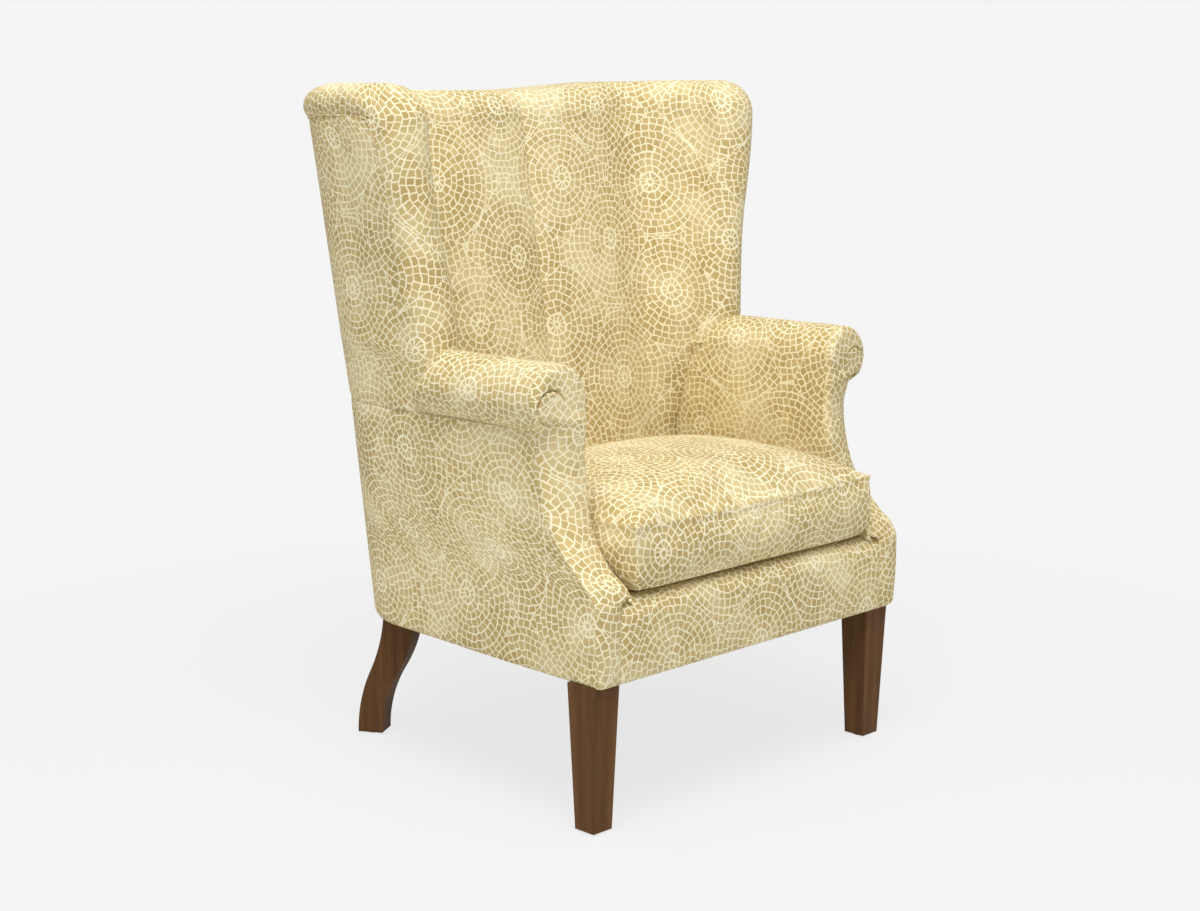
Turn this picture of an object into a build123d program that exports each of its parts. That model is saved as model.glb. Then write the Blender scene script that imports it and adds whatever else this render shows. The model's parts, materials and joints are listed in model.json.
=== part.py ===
# Upholstered wing chair with rolled arms: hardwood frame, springs, padding, covers, loose seat cushion.
# Millimetres. X runs to the right of someone facing the chair, Y to its back, Z up from the floor.
# Pairs are modelled on the left (minus X) and mirrored.
import math
import os

from build123d import *

os.makedirs("parts", exist_ok=True)

# Overall sizes
leg_height = 220.0
total_height = 1050.0
frame_top = 1000.0
front_reach = 332.0
rear_reach = 289.0
outside_lean = 0.051
body_front_half = 336.5
body_narrowing = 19.5
body_rear_half = body_front_half - body_narrowing
corner_radius = 160.0

# Seat, arms, wings and back
seat_height = 470.0
arm_thickness = 65.5
seat_half = body_front_half - arm_thickness
arm_height = 666.0
arm_roll_radius = 50.0
arm_seam_drop = 99.0
arm_seam_z = arm_height - arm_seam_drop
arm_seam_flare = 6.5
arm_seam_half = body_front_half + arm_seam_flare
arm_roll_length = 296.0
scroll_radius = 34.0
wing_flare = 24.5
wing_top_flare = 38.0
wing_rear_draw = 5.0
wing_bottom_half = body_front_half + wing_flare
wing_top_half = wing_bottom_half + wing_top_flare
wing_rear_bottom_half = wing_bottom_half - wing_rear_draw
wing_rear_top_half = wing_top_half - wing_rear_draw
wing_roll_radius = 42.5
wing_bottom_y = 43.0
wing_top_y = 59.0
wing_wall = 22.0
wing_shares = [0.16, 0.37, 0.58, 0.79, 1.0]
wing_seam = 10.0
crease_reach = 96.0
inside_lean = 0.157
lobe_depth = 16.0
junction_low_draw = 46.0
junction_top_draw = 21.0
junction_low_half = seat_half - junction_low_draw
junction_top_half = seat_half - junction_top_draw
junction_set = 4.0
side_tuck_low = 6.0
side_tuck_top = 90.0

# Front edge of the arm, seen from the side
knuckle_height = 345.0
knuckle_rise = 15.5
knuckle_run = 19.5
knuckle_fillet = 12.0
neck_set = 106.5
neck_drop = 27.0
neck_height = arm_seam_z - neck_drop
scroll_set = 96.0
strip_width = 41.5

# Boards, padding and covers
rail_height = 90.0
rail_thickness = 25.0
stub = 48.0
arm_rail_size = 36.0
back_post_width = 35.0
back_post_depth = 33.0
back_post_low_inset = 18.0
back_post_seam_inset = 32.0
back_post_top_inset = 74.0
wing_bar = 28.0
arm_wall = 24.0
back_slab = 51.0
webbing_thickness = 3.0
webbing_width = 50.0
webbing_count = 4
cover = 4.0
facing = 8.0
border = 12.0
border_round = 24.0
insulator = 2.2
deck_thickness = 27.0
dust_cover_thickness = 1.2
dust_cover_inset = 12.0
block_run = 52.0
lower_board_z = 380.0
lower_board_height = 60.0
top_board_height = 70.0
arm_roll_turn = 248.0
welt_radius = 2.0
welt_start = -20.0
welt_turn = 250.0

# Legs, bolts and glides
front_leg_top = 52.0
front_leg_foot = 37.0
front_leg_setback = 15.0
rear_leg_thickness = 40.0
rear_leg_foot = 41.4
rear_leg_top = 55.0
rear_leg_sweep = 54.5
rear_leg_turn = 30.7
rear_foot_inset = 74.5
rear_foot_set = 2.0
rear_foot_x = body_rear_half - rear_foot_inset
rear_foot_y = rear_reach - rear_foot_set
glide_height = 3.0
glide_radius = 13.0
nail_radius = 1.6
nail_length = 14.0
bolt_radius = 4.0
bolt_reach = 40.0

# Springs and clips
spring_count = 5
spring_spacing = 95.0
spring_width = 50.0
spring_pitch = 46.0
spring_wire = 1.7
spring_bend = 10.0
clip_length = 16.0
clip_depth = 10.0
clip_height = 5.0

# Top roll: share of its height, how far that level is drawn in from the faces below
roll_levels = [(0.0, 0.0), (0.2, -5.0), (0.5, -3.0), (0.76, 8.0), (0.94, 22.0), (1.0, 34.0)]
mitre_start = 22.0

# Loose cushion and its zip
cushion_gap = 3.0
cushion_overhang = 2.0
cushion_thickness = 94.0
cushion_crown = 52.0
cushion_corner = 38.0
cushion_draw = 5.0
cushion_rear_gap = 9.0
cushion_cover_wall = 2.5
cushion_levels = [(0.0, 16.0), (0.08, 7.0), (0.32, 0.0), (0.7, 0.0), (0.93, 4.0), (1.0, 0.0)]
crown_levels = [(0.45, 30.0), (0.8, 76.0), (1.0, 132.0)]
zip_length = 360.0
zip_width = 24.0
zip_tape = 1.2
slider_length = 12.0
slider_width = 9.0
slider_height = 3.6
pull_length = 22.0
pull_thickness = 1.2

# Clearances
soft_gap = 0.3
close_gap = 0.1
mitre_gap = 0.2
leg_hole_gap = 1.0

# Heights that follow
rail_top = leg_height + rail_height
spring_z = rail_top + spring_wire + close_gap
insulator_z = spring_z + spring_wire + close_gap
deck_z = insulator_z + insulator
deck_top = deck_z + deck_thickness
cushion_z = deck_top + soft_gap
arm_roll_x = -(seat_half + arm_roll_radius)
arm_roll_z = arm_height - arm_roll_radius
arm_front_y = -front_reach + scroll_set
arm_roll_end_y = arm_front_y + arm_roll_length
wing_rise = frame_top - arm_height
wing_levels = [arm_height + soft_gap] + [arm_height + share * wing_rise for share in wing_shares]


def smooth(low, high, z):
    # Smooth step from 0 at low to 1 at high
    t = min(max((z - low) / (high - low), 0.0), 1.0)
    return t * t * (3 - 2 * t)


def straight(z, points):
    # Piecewise straight line through (height, value) pairs
    for (z0, v0), (z1, v1) in zip(points, points[1:]):
        if z <= z1:
            return v0 + (v1 - v0) * (z - z0) / (z1 - z0)
    return points[-1][1]


def crease_y(z):
    # Middle crease of the inside back at height z
    return crease_reach + inside_lean * (z - seat_height)


def web_y(z):
    # Front of the back boards, which the webbing is stretched over
    return crease_y(z) + back_slab + webbing_thickness


def post_y(z):
    # Front of the back posts
    return web_y(z) + rail_thickness


def outside_y(z):
    # Outside back at height z
    return rear_reach + outside_lean * (z - leg_height)


def corner_half(z):
    # Half width of the body where the rounded rear corner starts
    return straight(z, [(leg_height, body_rear_half), (arm_seam_z, arm_seam_half),
                        (arm_height, wing_rear_bottom_half), (frame_top, wing_rear_top_half)])


def post_half(z):
    # Half width at the back posts' outer faces
    return straight(z, [(rail_top, corner_half(rail_top) - back_post_low_inset),
                        (arm_seam_z, corner_half(arm_seam_z) - back_post_seam_inset),
                        (frame_top, corner_half(frame_top) - back_post_top_inset)])


def corner_centre(z):
    # Centre of the left rear corner's plan arc
    return (-corner_half(z) + corner_radius, outside_y(z) - corner_radius)


def side_half(y):
    # Half width of the seat frame, which narrows to the back
    taper = (body_front_half - body_rear_half) / (rear_reach - corner_radius + front_reach)
    return body_front_half - taper * (y + front_reach)


def wing_half(z):
    # Half width at the wings' outer faces, flaring out as it rises
    return wing_bottom_half + (wing_top_half - wing_bottom_half) * smooth(arm_height, frame_top, z)


def wing_centre(z):
    # Centre of the left wing's front roll
    y = wing_bottom_y + (wing_top_y - wing_bottom_y) * smooth(arm_height, frame_top, z)
    return (-wing_half(z) + wing_roll_radius, y)


def junction(z):
    # Where the left wing meets the inside back
    half = straight(z, [(leg_height, junction_low_half), (arm_height, junction_low_half),
                        (frame_top, junction_top_half)])
    return (-half, crease_y(z) + junction_set)


def on_circle(centre, radius, angle):
    # Point on a circle, angle in degrees
    a = math.radians(angle)
    return (centre[0] + radius * math.cos(a), centre[1] + radius * math.sin(a))


def side_plane(x):
    # Plane facing plus X whose sketch axes are Y and Z
    return Plane(origin=(x, 0, 0), x_dir=(0, 1, 0), z_dir=(1, 0, 0))


def front_plane(y):
    # Plane facing the front whose sketch axes are X and Z
    return Plane(origin=(0, y, 0), x_dir=(1, 0, 0), z_dir=(0, -1, 0))


def save(builder, name):
    # Label one piece and write it
    builder.part.label = name
    export_step(builder.part, f"parts/{name}.step")


def save_pair(left, name):
    # Write a left piece and its mirror image
    save(left, f"{name}_left")
    with BuildPart() as right:
        mirror(left.part, about=Plane.YZ)
    save(right, f"{name}_right")


def arm_side(inset):
    # Side view of all that lies behind the arm's front edge, drawn in by inset
    low = (-front_reach, knuckle_height)
    knuckle = (-front_reach + knuckle_run, knuckle_height + knuckle_rise)
    neck = (-front_reach + neck_set, neck_height)
    scroll_low = (arm_front_y, arm_roll_z - scroll_radius)
    top = arm_height + arm_roll_radius
    behind = 2 * rear_reach
    with BuildSketch(side_plane(0)) as side:
        with BuildLine():
            Polyline((-front_reach, 0), low, knuckle)
            TangentArc(neck, knuckle, tangent=(0, -1))
            Polyline(neck, scroll_low, (arm_front_y, top), (behind, top), (behind, 0), (-front_reach, 0))
        make_face()
        fillet(side.vertices().sort_by_distance((0, low[0], low[1]))[0], radius=knuckle_fillet)
        if inset > 0:
            offset(amount=-inset)
    return side.sketch


# Front legs: square, tapered, with a stub that the rails butt against
stub_front_y = -front_reach + border
stub_rear_y = stub_front_y + stub
stub_outer = side_half(stub_rear_y) - cover
front_leg_x = -(body_front_half - front_leg_top / 2)
front_leg_at = (front_leg_x, -front_reach + front_leg_setback + front_leg_top / 2)
with BuildPart() as front_leg:
    with BuildSketch(Plane(origin=(*front_leg_at, glide_height))):
        Rectangle(front_leg_foot, front_leg_foot)
    with BuildSketch(Plane(origin=(*front_leg_at, leg_height))):
        Rectangle(front_leg_top, front_leg_top)
    loft(ruled=True)
    with BuildSketch(Plane(origin=(-stub_outer + stub / 2, (stub_front_y + stub_rear_y) / 2, leg_height))):
        Rectangle(stub, stub)
    extrude(amount=rail_height)
    with BuildSketch(Plane(origin=(*front_leg_at, glide_height))):
        Circle(nail_radius + close_gap)
    extrude(amount=nail_length + close_gap, mode=Mode.SUBTRACT)
save_pair(front_leg, "front_leg")

# Rear legs: sabre shaped, turned outwards, bolted up into the corner block
rear_turn = math.radians(rear_leg_turn)
rear_out = (-math.sin(rear_turn), math.cos(rear_turn), 0)
rear_across = (math.cos(rear_turn), math.sin(rear_turn), 0)
rear_foot_at = (-rear_foot_x, rear_foot_y, 0)
rear_top_at = (-rear_foot_x - rear_out[0] * rear_leg_sweep, rear_foot_y - rear_out[1] * rear_leg_sweep)
foot_back = rear_leg_foot / 2
top_back = rear_leg_top / 2 - rear_leg_sweep
waist = leg_height / 2
with BuildPart() as rear_leg:
    with BuildSketch(Plane(origin=rear_foot_at, x_dir=rear_out, z_dir=rear_across)):
        with BuildLine():
            back_waist = ((foot_back + top_back) / 2, waist)
            front_waist = (back_waist[0] - (rear_leg_foot + rear_leg_top) / 2, waist)
            TangentArc((foot_back, glide_height), back_waist, tangent=(0, 1))
            TangentArc((top_back, leg_height), back_waist, tangent=(0, -1))
            Line((top_back, leg_height), (top_back - rear_leg_top, leg_height))
            TangentArc((top_back - rear_leg_top, leg_height), front_waist, tangent=(0, -1))
            TangentArc((-foot_back, glide_height), front_waist, tangent=(0, 1))
            Line((-foot_back, glide_height), (foot_back, glide_height))
        make_face()
    extrude(amount=rear_leg_thickness / 2, both=True)
    with BuildSketch(Plane(origin=(*rear_foot_at[:2], glide_height))):
        Circle(nail_radius + close_gap)
    extrude(amount=nail_length + close_gap, mode=Mode.SUBTRACT)
    with BuildSketch(Plane(origin=(*rear_top_at, leg_height))):
        Circle(bolt_radius + close_gap)
    extrude(amount=-bolt_reach - close_gap, mode=Mode.SUBTRACT)
save_pair(rear_leg, "rear_leg")

# Nailed glides under the four feet
feet = [front_leg_at, rear_foot_at[:2]]
with BuildPart() as floor_glides:
    with BuildSketch():
        with Locations(*feet):
            Circle(glide_radius)
    extrude(amount=glide_height)
    with BuildSketch(Plane.XY.offset(glide_height)):
        with Locations(*feet):
            Circle(nail_radius)
    extrude(amount=nail_length)
    mirror(about=Plane.YZ)
save(floor_glides, "floor_glides")

# Hanger bolts of the rear legs
with BuildPart() as rear_leg_bolts:
    with BuildSketch(Plane(origin=(*rear_top_at, leg_height))):
        Circle(bolt_radius)
    extrude(amount=bolt_reach, both=True)
    mirror(about=Plane.YZ)
save(rear_leg_bolts, "rear_leg_bolts")

# Seat frame: front, side, back and curved corner rails
front_rail_half = stub_outer - stub
with BuildPart() as front_rail:
    with BuildSketch(Plane(origin=(0, stub_front_y + rail_thickness / 2, leg_height))):
        Rectangle(2 * front_rail_half, rail_thickness)
    extrude(amount=rail_height)
save(front_rail, "front_rail")

corner_at = corner_centre(leg_height)
corner_outer = corner_radius - cover
corner_inner = corner_outer - rail_thickness
with BuildPart() as side_rail:
    with BuildSketch(Plane.XY.offset(leg_height)):
        front_x = -(side_half(stub_rear_y) - cover)
        rear_x = -(side_half(corner_at[1]) - cover)
        with BuildLine():
            Polyline((front_x, stub_rear_y), (rear_x, corner_at[1]), (rear_x + rail_thickness, corner_at[1]),
                     (front_x + rail_thickness, stub_rear_y), close=True)
        make_face()
    extrude(amount=rail_height)
save_pair(side_rail, "side_rail")

with BuildPart() as rear_corner_rail:
    with BuildSketch(Plane.XY.offset(leg_height)):
        with BuildLine():
            CenterArc(corner_at, corner_outer, 90, 90)
            CenterArc(corner_at, corner_inner, 90, 90)
            Line(on_circle(corner_at, corner_outer, 90), on_circle(corner_at, corner_inner, 90))
            Line(on_circle(corner_at, corner_outer, 180), on_circle(corner_at, corner_inner, 180))
        make_face()
    extrude(amount=rail_height)
save_pair(rear_corner_rail, "rear_corner_rail")

with BuildPart() as back_rail:
    with BuildSketch(Plane.XY.offset(leg_height)):
        with Locations((0, corner_at[1] + (corner_outer + corner_inner) / 2)):
            Rectangle(2 * abs(corner_at[0]), rail_thickness)
    extrude(amount=rail_height)
save(back_rail, "back_rail")

# Glued blocks: one in each rear corner takes the leg bolt, one in each front corner stiffens the joint
with BuildPart() as rear_corner_block:
    with BuildSketch(Plane.XY.offset(leg_height)):
        with BuildLine():
            CenterArc(corner_at, corner_inner - close_gap, 90, 90)
            Line(on_circle(corner_at, corner_inner - close_gap, 90),
                 on_circle(corner_at, corner_inner - close_gap, 180))
        make_face()
        with Locations(rear_top_at):
            Circle(bolt_radius + close_gap, mode=Mode.SUBTRACT)
    extrude(amount=rail_height)
save_pair(rear_corner_block, "rear_corner_block")

front_rail_back_y = stub_front_y + rail_thickness
with BuildPart() as front_corner_block:
    with BuildSketch(Plane.XY.offset(leg_height)):
        with BuildLine():
            Polyline((-front_rail_half, front_rail_back_y), (-front_rail_half + block_run, front_rail_back_y),
                     (-front_rail_half, stub_rear_y), close=True)
        make_face()
    extrude(amount=rail_height)
save_pair(front_corner_block, "front_corner_block")

# Arm posts, sawn to the curve of the arm front, and the arm rails on top of them
post_top = arm_roll_z - arm_rail_size / 2
post_inner = seat_half + arm_wall + soft_gap
post_back_y = -front_reach + neck_set + stub
with BuildPart() as arm_post:
    with BuildSketch(side_plane(-stub_outer)):
        with BuildLine():
            Polyline((stub_front_y, rail_top), (stub_rear_y, rail_top), (post_back_y, neck_height - stub),
                     (post_back_y, post_top), (-front_reach, post_top), (-front_reach, knuckle_height),
                     (stub_front_y, knuckle_height - border), close=True)
        make_face()
        with Locations((0, rail_top)):
            Rectangle(4 * front_reach, post_top - rail_top, align=(Align.CENTER, Align.MIN), mode=Mode.INTERSECT)
    extrude(amount=stub_outer - post_inner)
    extrude(arm_side(facing + soft_gap), amount=2 * body_front_half, both=True, mode=Mode.INTERSECT)
save_pair(arm_post, "arm_post")

arm_rail_back_y = post_y(post_top)
arm_rail_front_y = arm_front_y + facing + soft_gap
arm_rail_corner = arm_rail_size / 2
with BuildPart() as arm_rail:
    with BuildSketch(Plane.XY.offset(post_top)):
        outer_x = arm_roll_x - arm_rail_size / 2
        inner_x = arm_roll_x + arm_rail_size / 2
        with BuildLine():
            Polyline((outer_x, arm_rail_front_y), (inner_x, arm_rail_front_y), (inner_x, arm_rail_back_y),
                     (outer_x + arm_rail_corner, arm_rail_back_y),
                     (outer_x, arm_rail_back_y - 2 * arm_rail_corner), close=True)
        make_face()
    extrude(amount=arm_rail_size)
save_pair(arm_rail, "arm_rail")

# Back posts and the two boards across them
with BuildPart() as back_post:
    for z in (rail_top, arm_seam_z, frame_top):
        post_at = (-post_half(z) + back_post_width / 2, post_y(z) + back_post_depth / 2, z)
        with BuildSketch(Plane(origin=post_at)):
            Rectangle(back_post_width, back_post_depth)
    loft(ruled=True)
save_pair(back_post, "back_post")


def back_board(z_low, z_high, front, depth):
    # Side view of a board that leans with the back
    with BuildSketch(side_plane(0)) as board:
        with BuildLine():
            Polyline((front(z_low), z_low), (front(z_high), z_high), (front(z_high) + depth, z_high),
                     (front(z_low) + depth, z_low), close=True)
        make_face()
    return board.sketch


board_half = post_half(rail_top) - close_gap
with BuildPart() as lower_back_rail:
    extrude(back_board(lower_board_z, lower_board_z + lower_board_height, web_y, rail_thickness),
            amount=board_half, both=True)
save(lower_back_rail, "lower_back_rail")

with BuildPart() as top_back_rail:
    extrude(back_board(frame_top - top_board_height, frame_top, web_y, rail_thickness),
            amount=board_half, both=True)
save(top_back_rail, "top_back_rail")

# Webbing straps stretched from board to board
webbing_step = 2 * junction_low_half / webbing_count
strap = back_board(lower_board_z, frame_top, lambda z: web_y(z) - webbing_thickness, webbing_thickness)
with BuildPart() as back_webbing:
    for i in range(webbing_count):
        x = (i - (webbing_count - 1) / 2) * webbing_step
        extrude(Pos(x, 0, 0) * strap, amount=webbing_width / 2, both=True)
save(back_webbing, "back_webbing")

# Wing posts and the bars that tie them back to the top board
wing_bar_z = frame_top - wing_bar
wing_post_levels = [arm_roll_z + arm_rail_size / 2] + wing_levels[:-1] + [wing_bar_z]
with BuildPart() as wing_post:
    for z in wing_post_levels:
        with BuildSketch(Plane(origin=(*wing_centre(z), z))):
            Rectangle(wing_bar, wing_bar)
    loft(ruled=True)
save_pair(wing_post, "wing_post")

wing_bar_front = wing_centre(wing_bar_z)
wing_bar_back = (-board_half + wing_bar / 2, web_y(wing_bar_z))
with BuildPart() as wing_top_rail:
    with BuildSketch(Plane.XY.offset(wing_bar_z)):
        with BuildLine():
            front_y = wing_bar_front[1] - wing_bar / 2
            Polyline((wing_bar_front[0] - wing_bar / 2, front_y), (wing_bar_front[0] + wing_bar / 2, front_y),
                     (wing_bar_back[0] + wing_bar / 2, wing_bar_back[1]),
                     (wing_bar_back[0] - wing_bar / 2, wing_bar_back[1]), close=True)
        make_face()
    extrude(amount=wing_bar)
save_pair(wing_top_rail, "wing_top_rail")

# Zigzag seat springs and the clips that hold their ends on the rails
spring_front_y = stub_front_y + rail_thickness / 2
spring_back_y = corner_at[1] + (corner_outer + corner_inner) / 2
spring_runs = 2 * round((spring_back_y - spring_front_y) / spring_pitch)
spring_step = (spring_back_y - spring_front_y) / spring_runs
spring_columns = [(i - (spring_count - 1) / 2) * spring_spacing for i in range(spring_count)]
with BuildPart() as seat_springs:
    for column in spring_columns:
        corners = []
        for run in range(spring_runs + 1):
            y = spring_front_y + run * spring_step
            reach = spring_width / 2 if run % 2 else -spring_width / 2
            corners += [(column - reach, y, spring_z), (column + reach, y, spring_z)]
        with BuildLine():
            wire = FilletPolyline(*corners, radius=spring_bend)
        with BuildSketch(Plane(origin=wire @ 0, z_dir=wire % 0)):
            Circle(spring_wire)
        sweep(path=wire)
save(seat_springs, "seat_springs")

groove = spring_wire + close_gap
with BuildPart() as spring_clips:
    for column in spring_columns:
        for y in (spring_front_y, spring_back_y):
            with BuildSketch(Plane(origin=(column, y, rail_top))):
                Rectangle(clip_length, clip_depth)
            extrude(amount=clip_height)
            with BuildSketch(Plane(origin=(column, y, spring_z), x_dir=(0, 1, 0), z_dir=(1, 0, 0))):
                Circle(groove)
                with Locations((0, -groove)):
                    Rectangle(2 * groove, 2 * groove)
            extrude(amount=clip_length, both=True, mode=Mode.SUBTRACT)
save(spring_clips, "spring_clips")

# Felt insulator over the springs, and the padded deck that the loose cushion lies on
deck_front_y = stub_rear_y + soft_gap
deck_rear_y = crease_y(deck_z) - lobe_depth - soft_gap
with BuildPart() as seat_insulator:
    with BuildSketch(Plane.XY.offset(insulator_z)):
        with BuildLine():
            Polyline((-seat_half, deck_front_y), (seat_half, deck_front_y), (seat_half, web_y(insulator_z)),
                     (-seat_half, web_y(insulator_z)), close=True)
        make_face()
    extrude(amount=insulator)
save(seat_insulator, "seat_insulator")

deck_half = post_inner - soft_gap
with BuildPart() as deck_pad:
    with BuildSketch(Plane.XY.offset(deck_z)):
        with Locations((0, (deck_front_y + deck_rear_y) / 2)):
            Rectangle(2 * deck_half, deck_rear_y - deck_front_y)
    extrude(amount=deck_thickness)
save(deck_pad, "deck_pad")

# Front border: padded band across the front rail, rounded over onto the deck
border_half = body_front_half - strip_width - soft_gap
border_under = rail_top + clip_height + soft_gap
with BuildPart() as front_border:
    with BuildSketch(side_plane(0)):
        with BuildLine():
            Polyline((-front_reach, deck_top - border_round), (-front_reach, leg_height),
                     (stub_front_y, leg_height), (stub_front_y, border_under), (stub_rear_y, border_under),
                     (stub_rear_y, deck_top), (-front_reach + border_round, deck_top))
            TangentArc((-front_reach, deck_top - border_round), (-front_reach + border_round, deck_top),
                       tangent=(0, 1))
        make_face()
    extrude(amount=border_half, both=True)
save(front_border, "front_border")

# Arm pads: a wall inside the arm that rolls outwards over the arm rail
roll_at = (arm_roll_x, arm_roll_z)
roll_hole = arm_roll_radius - arm_wall
arm_pad_bottom = deck_top + soft_gap
arm_pad_back_y = web_y(arm_pad_bottom) - soft_gap
with BuildPart() as arm_pad:
    with BuildSketch(front_plane(arm_roll_end_y)):
        with BuildLine():
            CenterArc(roll_at, arm_roll_radius, 0, arm_roll_turn / 2)
            CenterArc(roll_at, arm_roll_radius, arm_roll_turn / 2, arm_roll_turn / 2)
            Line(on_circle(roll_at, arm_roll_radius, arm_roll_turn),
                 on_circle(roll_at, roll_hole, arm_roll_turn))
            CenterArc(roll_at, roll_hole, 0, arm_roll_turn / 2)
            CenterArc(roll_at, roll_hole, arm_roll_turn / 2, arm_roll_turn / 2)
            Line(on_circle(roll_at, arm_roll_radius, 0), on_circle(roll_at, roll_hole, 0))
        make_face()
    extrude(amount=arm_roll_length)
    with BuildSketch(front_plane(arm_pad_back_y)):
        with BuildLine():
            Polyline((-seat_half, arm_pad_bottom), (-seat_half, arm_roll_z),
                     (-seat_half - arm_wall, arm_roll_z), (-seat_half - arm_wall, arm_pad_bottom), close=True)
        make_face()
    extrude(amount=arm_pad_back_y + front_reach)
    extrude(arm_side(facing + soft_gap), amount=2 * body_front_half, both=True, mode=Mode.INTERSECT)
    with BuildSketch(Plane.XY.offset(arm_roll_z)):
        post_at = wing_centre(arm_height)
        with Locations((post_at[0], post_at[1] + wing_bar / 2)):
            Rectangle(wing_bar + 2 * soft_gap, 2 * wing_bar + 2 * soft_gap)
    extrude(amount=2 * arm_roll_radius, mode=Mode.SUBTRACT)
save_pair(arm_pad, "arm_pad")

# Arm facings: the cover of the arm's front edge, from the base up to the scroll
with BuildPart() as arm_facing:
    extrude(arm_side(0), amount=2 * body_front_half, both=True)
    extrude(arm_side(facing), amount=2 * body_front_half, both=True, mode=Mode.SUBTRACT)
    with BuildSketch(front_plane(0)) as facing_outline:
        with BuildLine():
            Polyline((-body_front_half, leg_height), (-body_front_half + strip_width, leg_height),
                     (-body_front_half + strip_width, knuckle_height),
                     (-seat_half, knuckle_height + knuckle_rise), (-seat_half, arm_roll_z),
                     (-body_front_half, arm_roll_z), close=True)
        make_face()
        with Locations(roll_at):
            Circle(arm_roll_radius - cover)
    extrude(facing_outline.sketch, amount=front_reach + facing, mode=Mode.INTERSECT)
save_pair(arm_facing, "arm_facing")

# Welt that curls round the scroll on the front of each arm
with BuildPart() as scroll_welt:
    with BuildLine(front_plane(arm_front_y - welt_radius - close_gap)):
        curl = CenterArc(roll_at, scroll_radius, welt_start, welt_turn)
    with BuildSketch(Plane(origin=curl @ 0, z_dir=curl % 0)):
        Circle(welt_radius)
    sweep(path=curl)
save_pair(scroll_welt, "scroll_welt")


def cover_level(z, front):
    # One level of an outside cover: straight side, rounded rear corner, one cover thick
    centre = corner_centre(z)
    rear = on_circle(centre, corner_radius, 90)
    with BuildSketch(Plane.XY.offset(z)) as level:
        with BuildLine():
            Line(front, on_circle(centre, corner_radius, 180))
            CenterArc(centre, corner_radius, 90, 90)
            Line(rear, (rear[0], rear[1] - cover))
            CenterArc(centre, corner_radius - cover, 90, 90)
            Line(on_circle(centre, corner_radius - cover, 180), (front[0] + cover, front[1]))
            Line((front[0] + cover, front[1]), front)
        make_face()
    return level.sketch


# Outside covers of the arms, wings and back
with BuildPart() as outside_arm:
    loft([cover_level(z, (-body_front_half, -front_reach)) for z in (leg_height, arm_seam_z)], ruled=True)
    extrude(arm_side(facing + soft_gap), amount=2 * body_front_half, both=True, mode=Mode.INTERSECT)
save_pair(outside_arm, "outside_arm")

wing_low_levels = [arm_seam_z + soft_gap, arm_height]
wing_low_y = arm_roll_end_y + soft_gap
wing_low_front = [(-arm_seam_half, wing_low_y), (-wing_bottom_half, wing_low_y)]
with BuildPart() as outside_wing:
    loft([cover_level(z, front) for z, front in zip(wing_low_levels, wing_low_front)], ruled=True)
    high_levels = [arm_height] + wing_levels[1:]
    loft([cover_level(z, (-wing_half(z), wing_centre(z)[1] + wing_seam)) for z in high_levels], ruled=True)
save_pair(outside_wing, "outside_wing")

with BuildPart() as outside_back:
    for z in (leg_height, arm_seam_z, arm_height, frame_top):
        with BuildSketch(Plane(origin=(0, outside_y(z) - cover / 2, z))):
            Rectangle(2 * (corner_half(z) - corner_radius) - 2 * close_gap, cover)
    loft(ruled=True)
save(outside_back, "outside_back")

# Top roll over the wings and the back, mitred at the rear corners
top_roll = total_height - frame_top


def mitre(drawn, shift):
    # Ends of the line where the wing's top roll meets the back's, from inside to outside
    centre = corner_centre(frame_top)
    inner = on_circle(centre, mitre_start + drawn, 135)
    outer = on_circle(centre, corner_radius - drawn, 135)
    return (inner[0] + shift, inner[1] + shift), (outer[0] + shift, outer[1] + shift)


def wing_wall_level(z):
    # One level of a wing pad: a roll round the wing post and a wall back to the inside back
    centre = wing_centre(z)
    hole = wing_roll_radius - wing_wall
    meet = (junction(z)[0] - soft_gap, junction(z)[1])
    seam_y = centre[1] + wing_seam - soft_gap
    with BuildSketch(Plane.XY.offset(z)) as level:
        with BuildLine():
            CenterArc(centre, wing_roll_radius, 180, 90)
            CenterArc(centre, wing_roll_radius, 270, 90)
            Polyline(on_circle(centre, wing_roll_radius, 0), meet, (meet[0], meet[1] + wing_wall),
                     on_circle(centre, hole, 0))
            CenterArc(centre, hole, 180, 90)
            CenterArc(centre, hole, 270, 90)
            Polyline(on_circle(centre, hole, 180), (centre[0] - hole, seam_y),
                     (centre[0] - wing_roll_radius, seam_y), on_circle(centre, wing_roll_radius, 180))
        make_face()
    return level.sketch


def wing_roll_level(share, drawn):
    # One level of the top roll over a wing
    z = frame_top + share * top_roll
    centre = wing_centre(frame_top)
    radius = wing_roll_radius - drawn
    corner = corner_centre(frame_top)
    inner, outer = mitre(drawn, -mitre_gap)
    side = (corner[0] - corner_radius + drawn, corner[1])
    turn = on_circle(corner, corner_radius - drawn, 157.5)
    with BuildSketch(Plane.XY.offset(z)) as level:
        with BuildLine():
            CenterArc(centre, radius, 180, 90)
            CenterArc(centre, radius, 270, 90)
            Polyline(on_circle(centre, radius, 0), inner, outer)
            ThreePointArc(outer, turn, side)
            Line(side, on_circle(centre, radius, 180))
        make_face()
    return level.sketch


# Wing pads with their front and top rolls
with BuildPart() as wing_pad:
    loft([wing_wall_level(z) for z in wing_levels], ruled=True)
    loft([wing_roll_level(share, drawn) for share, drawn in roll_levels], ruled=True)
save_pair(wing_pad, "wing_pad")


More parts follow.
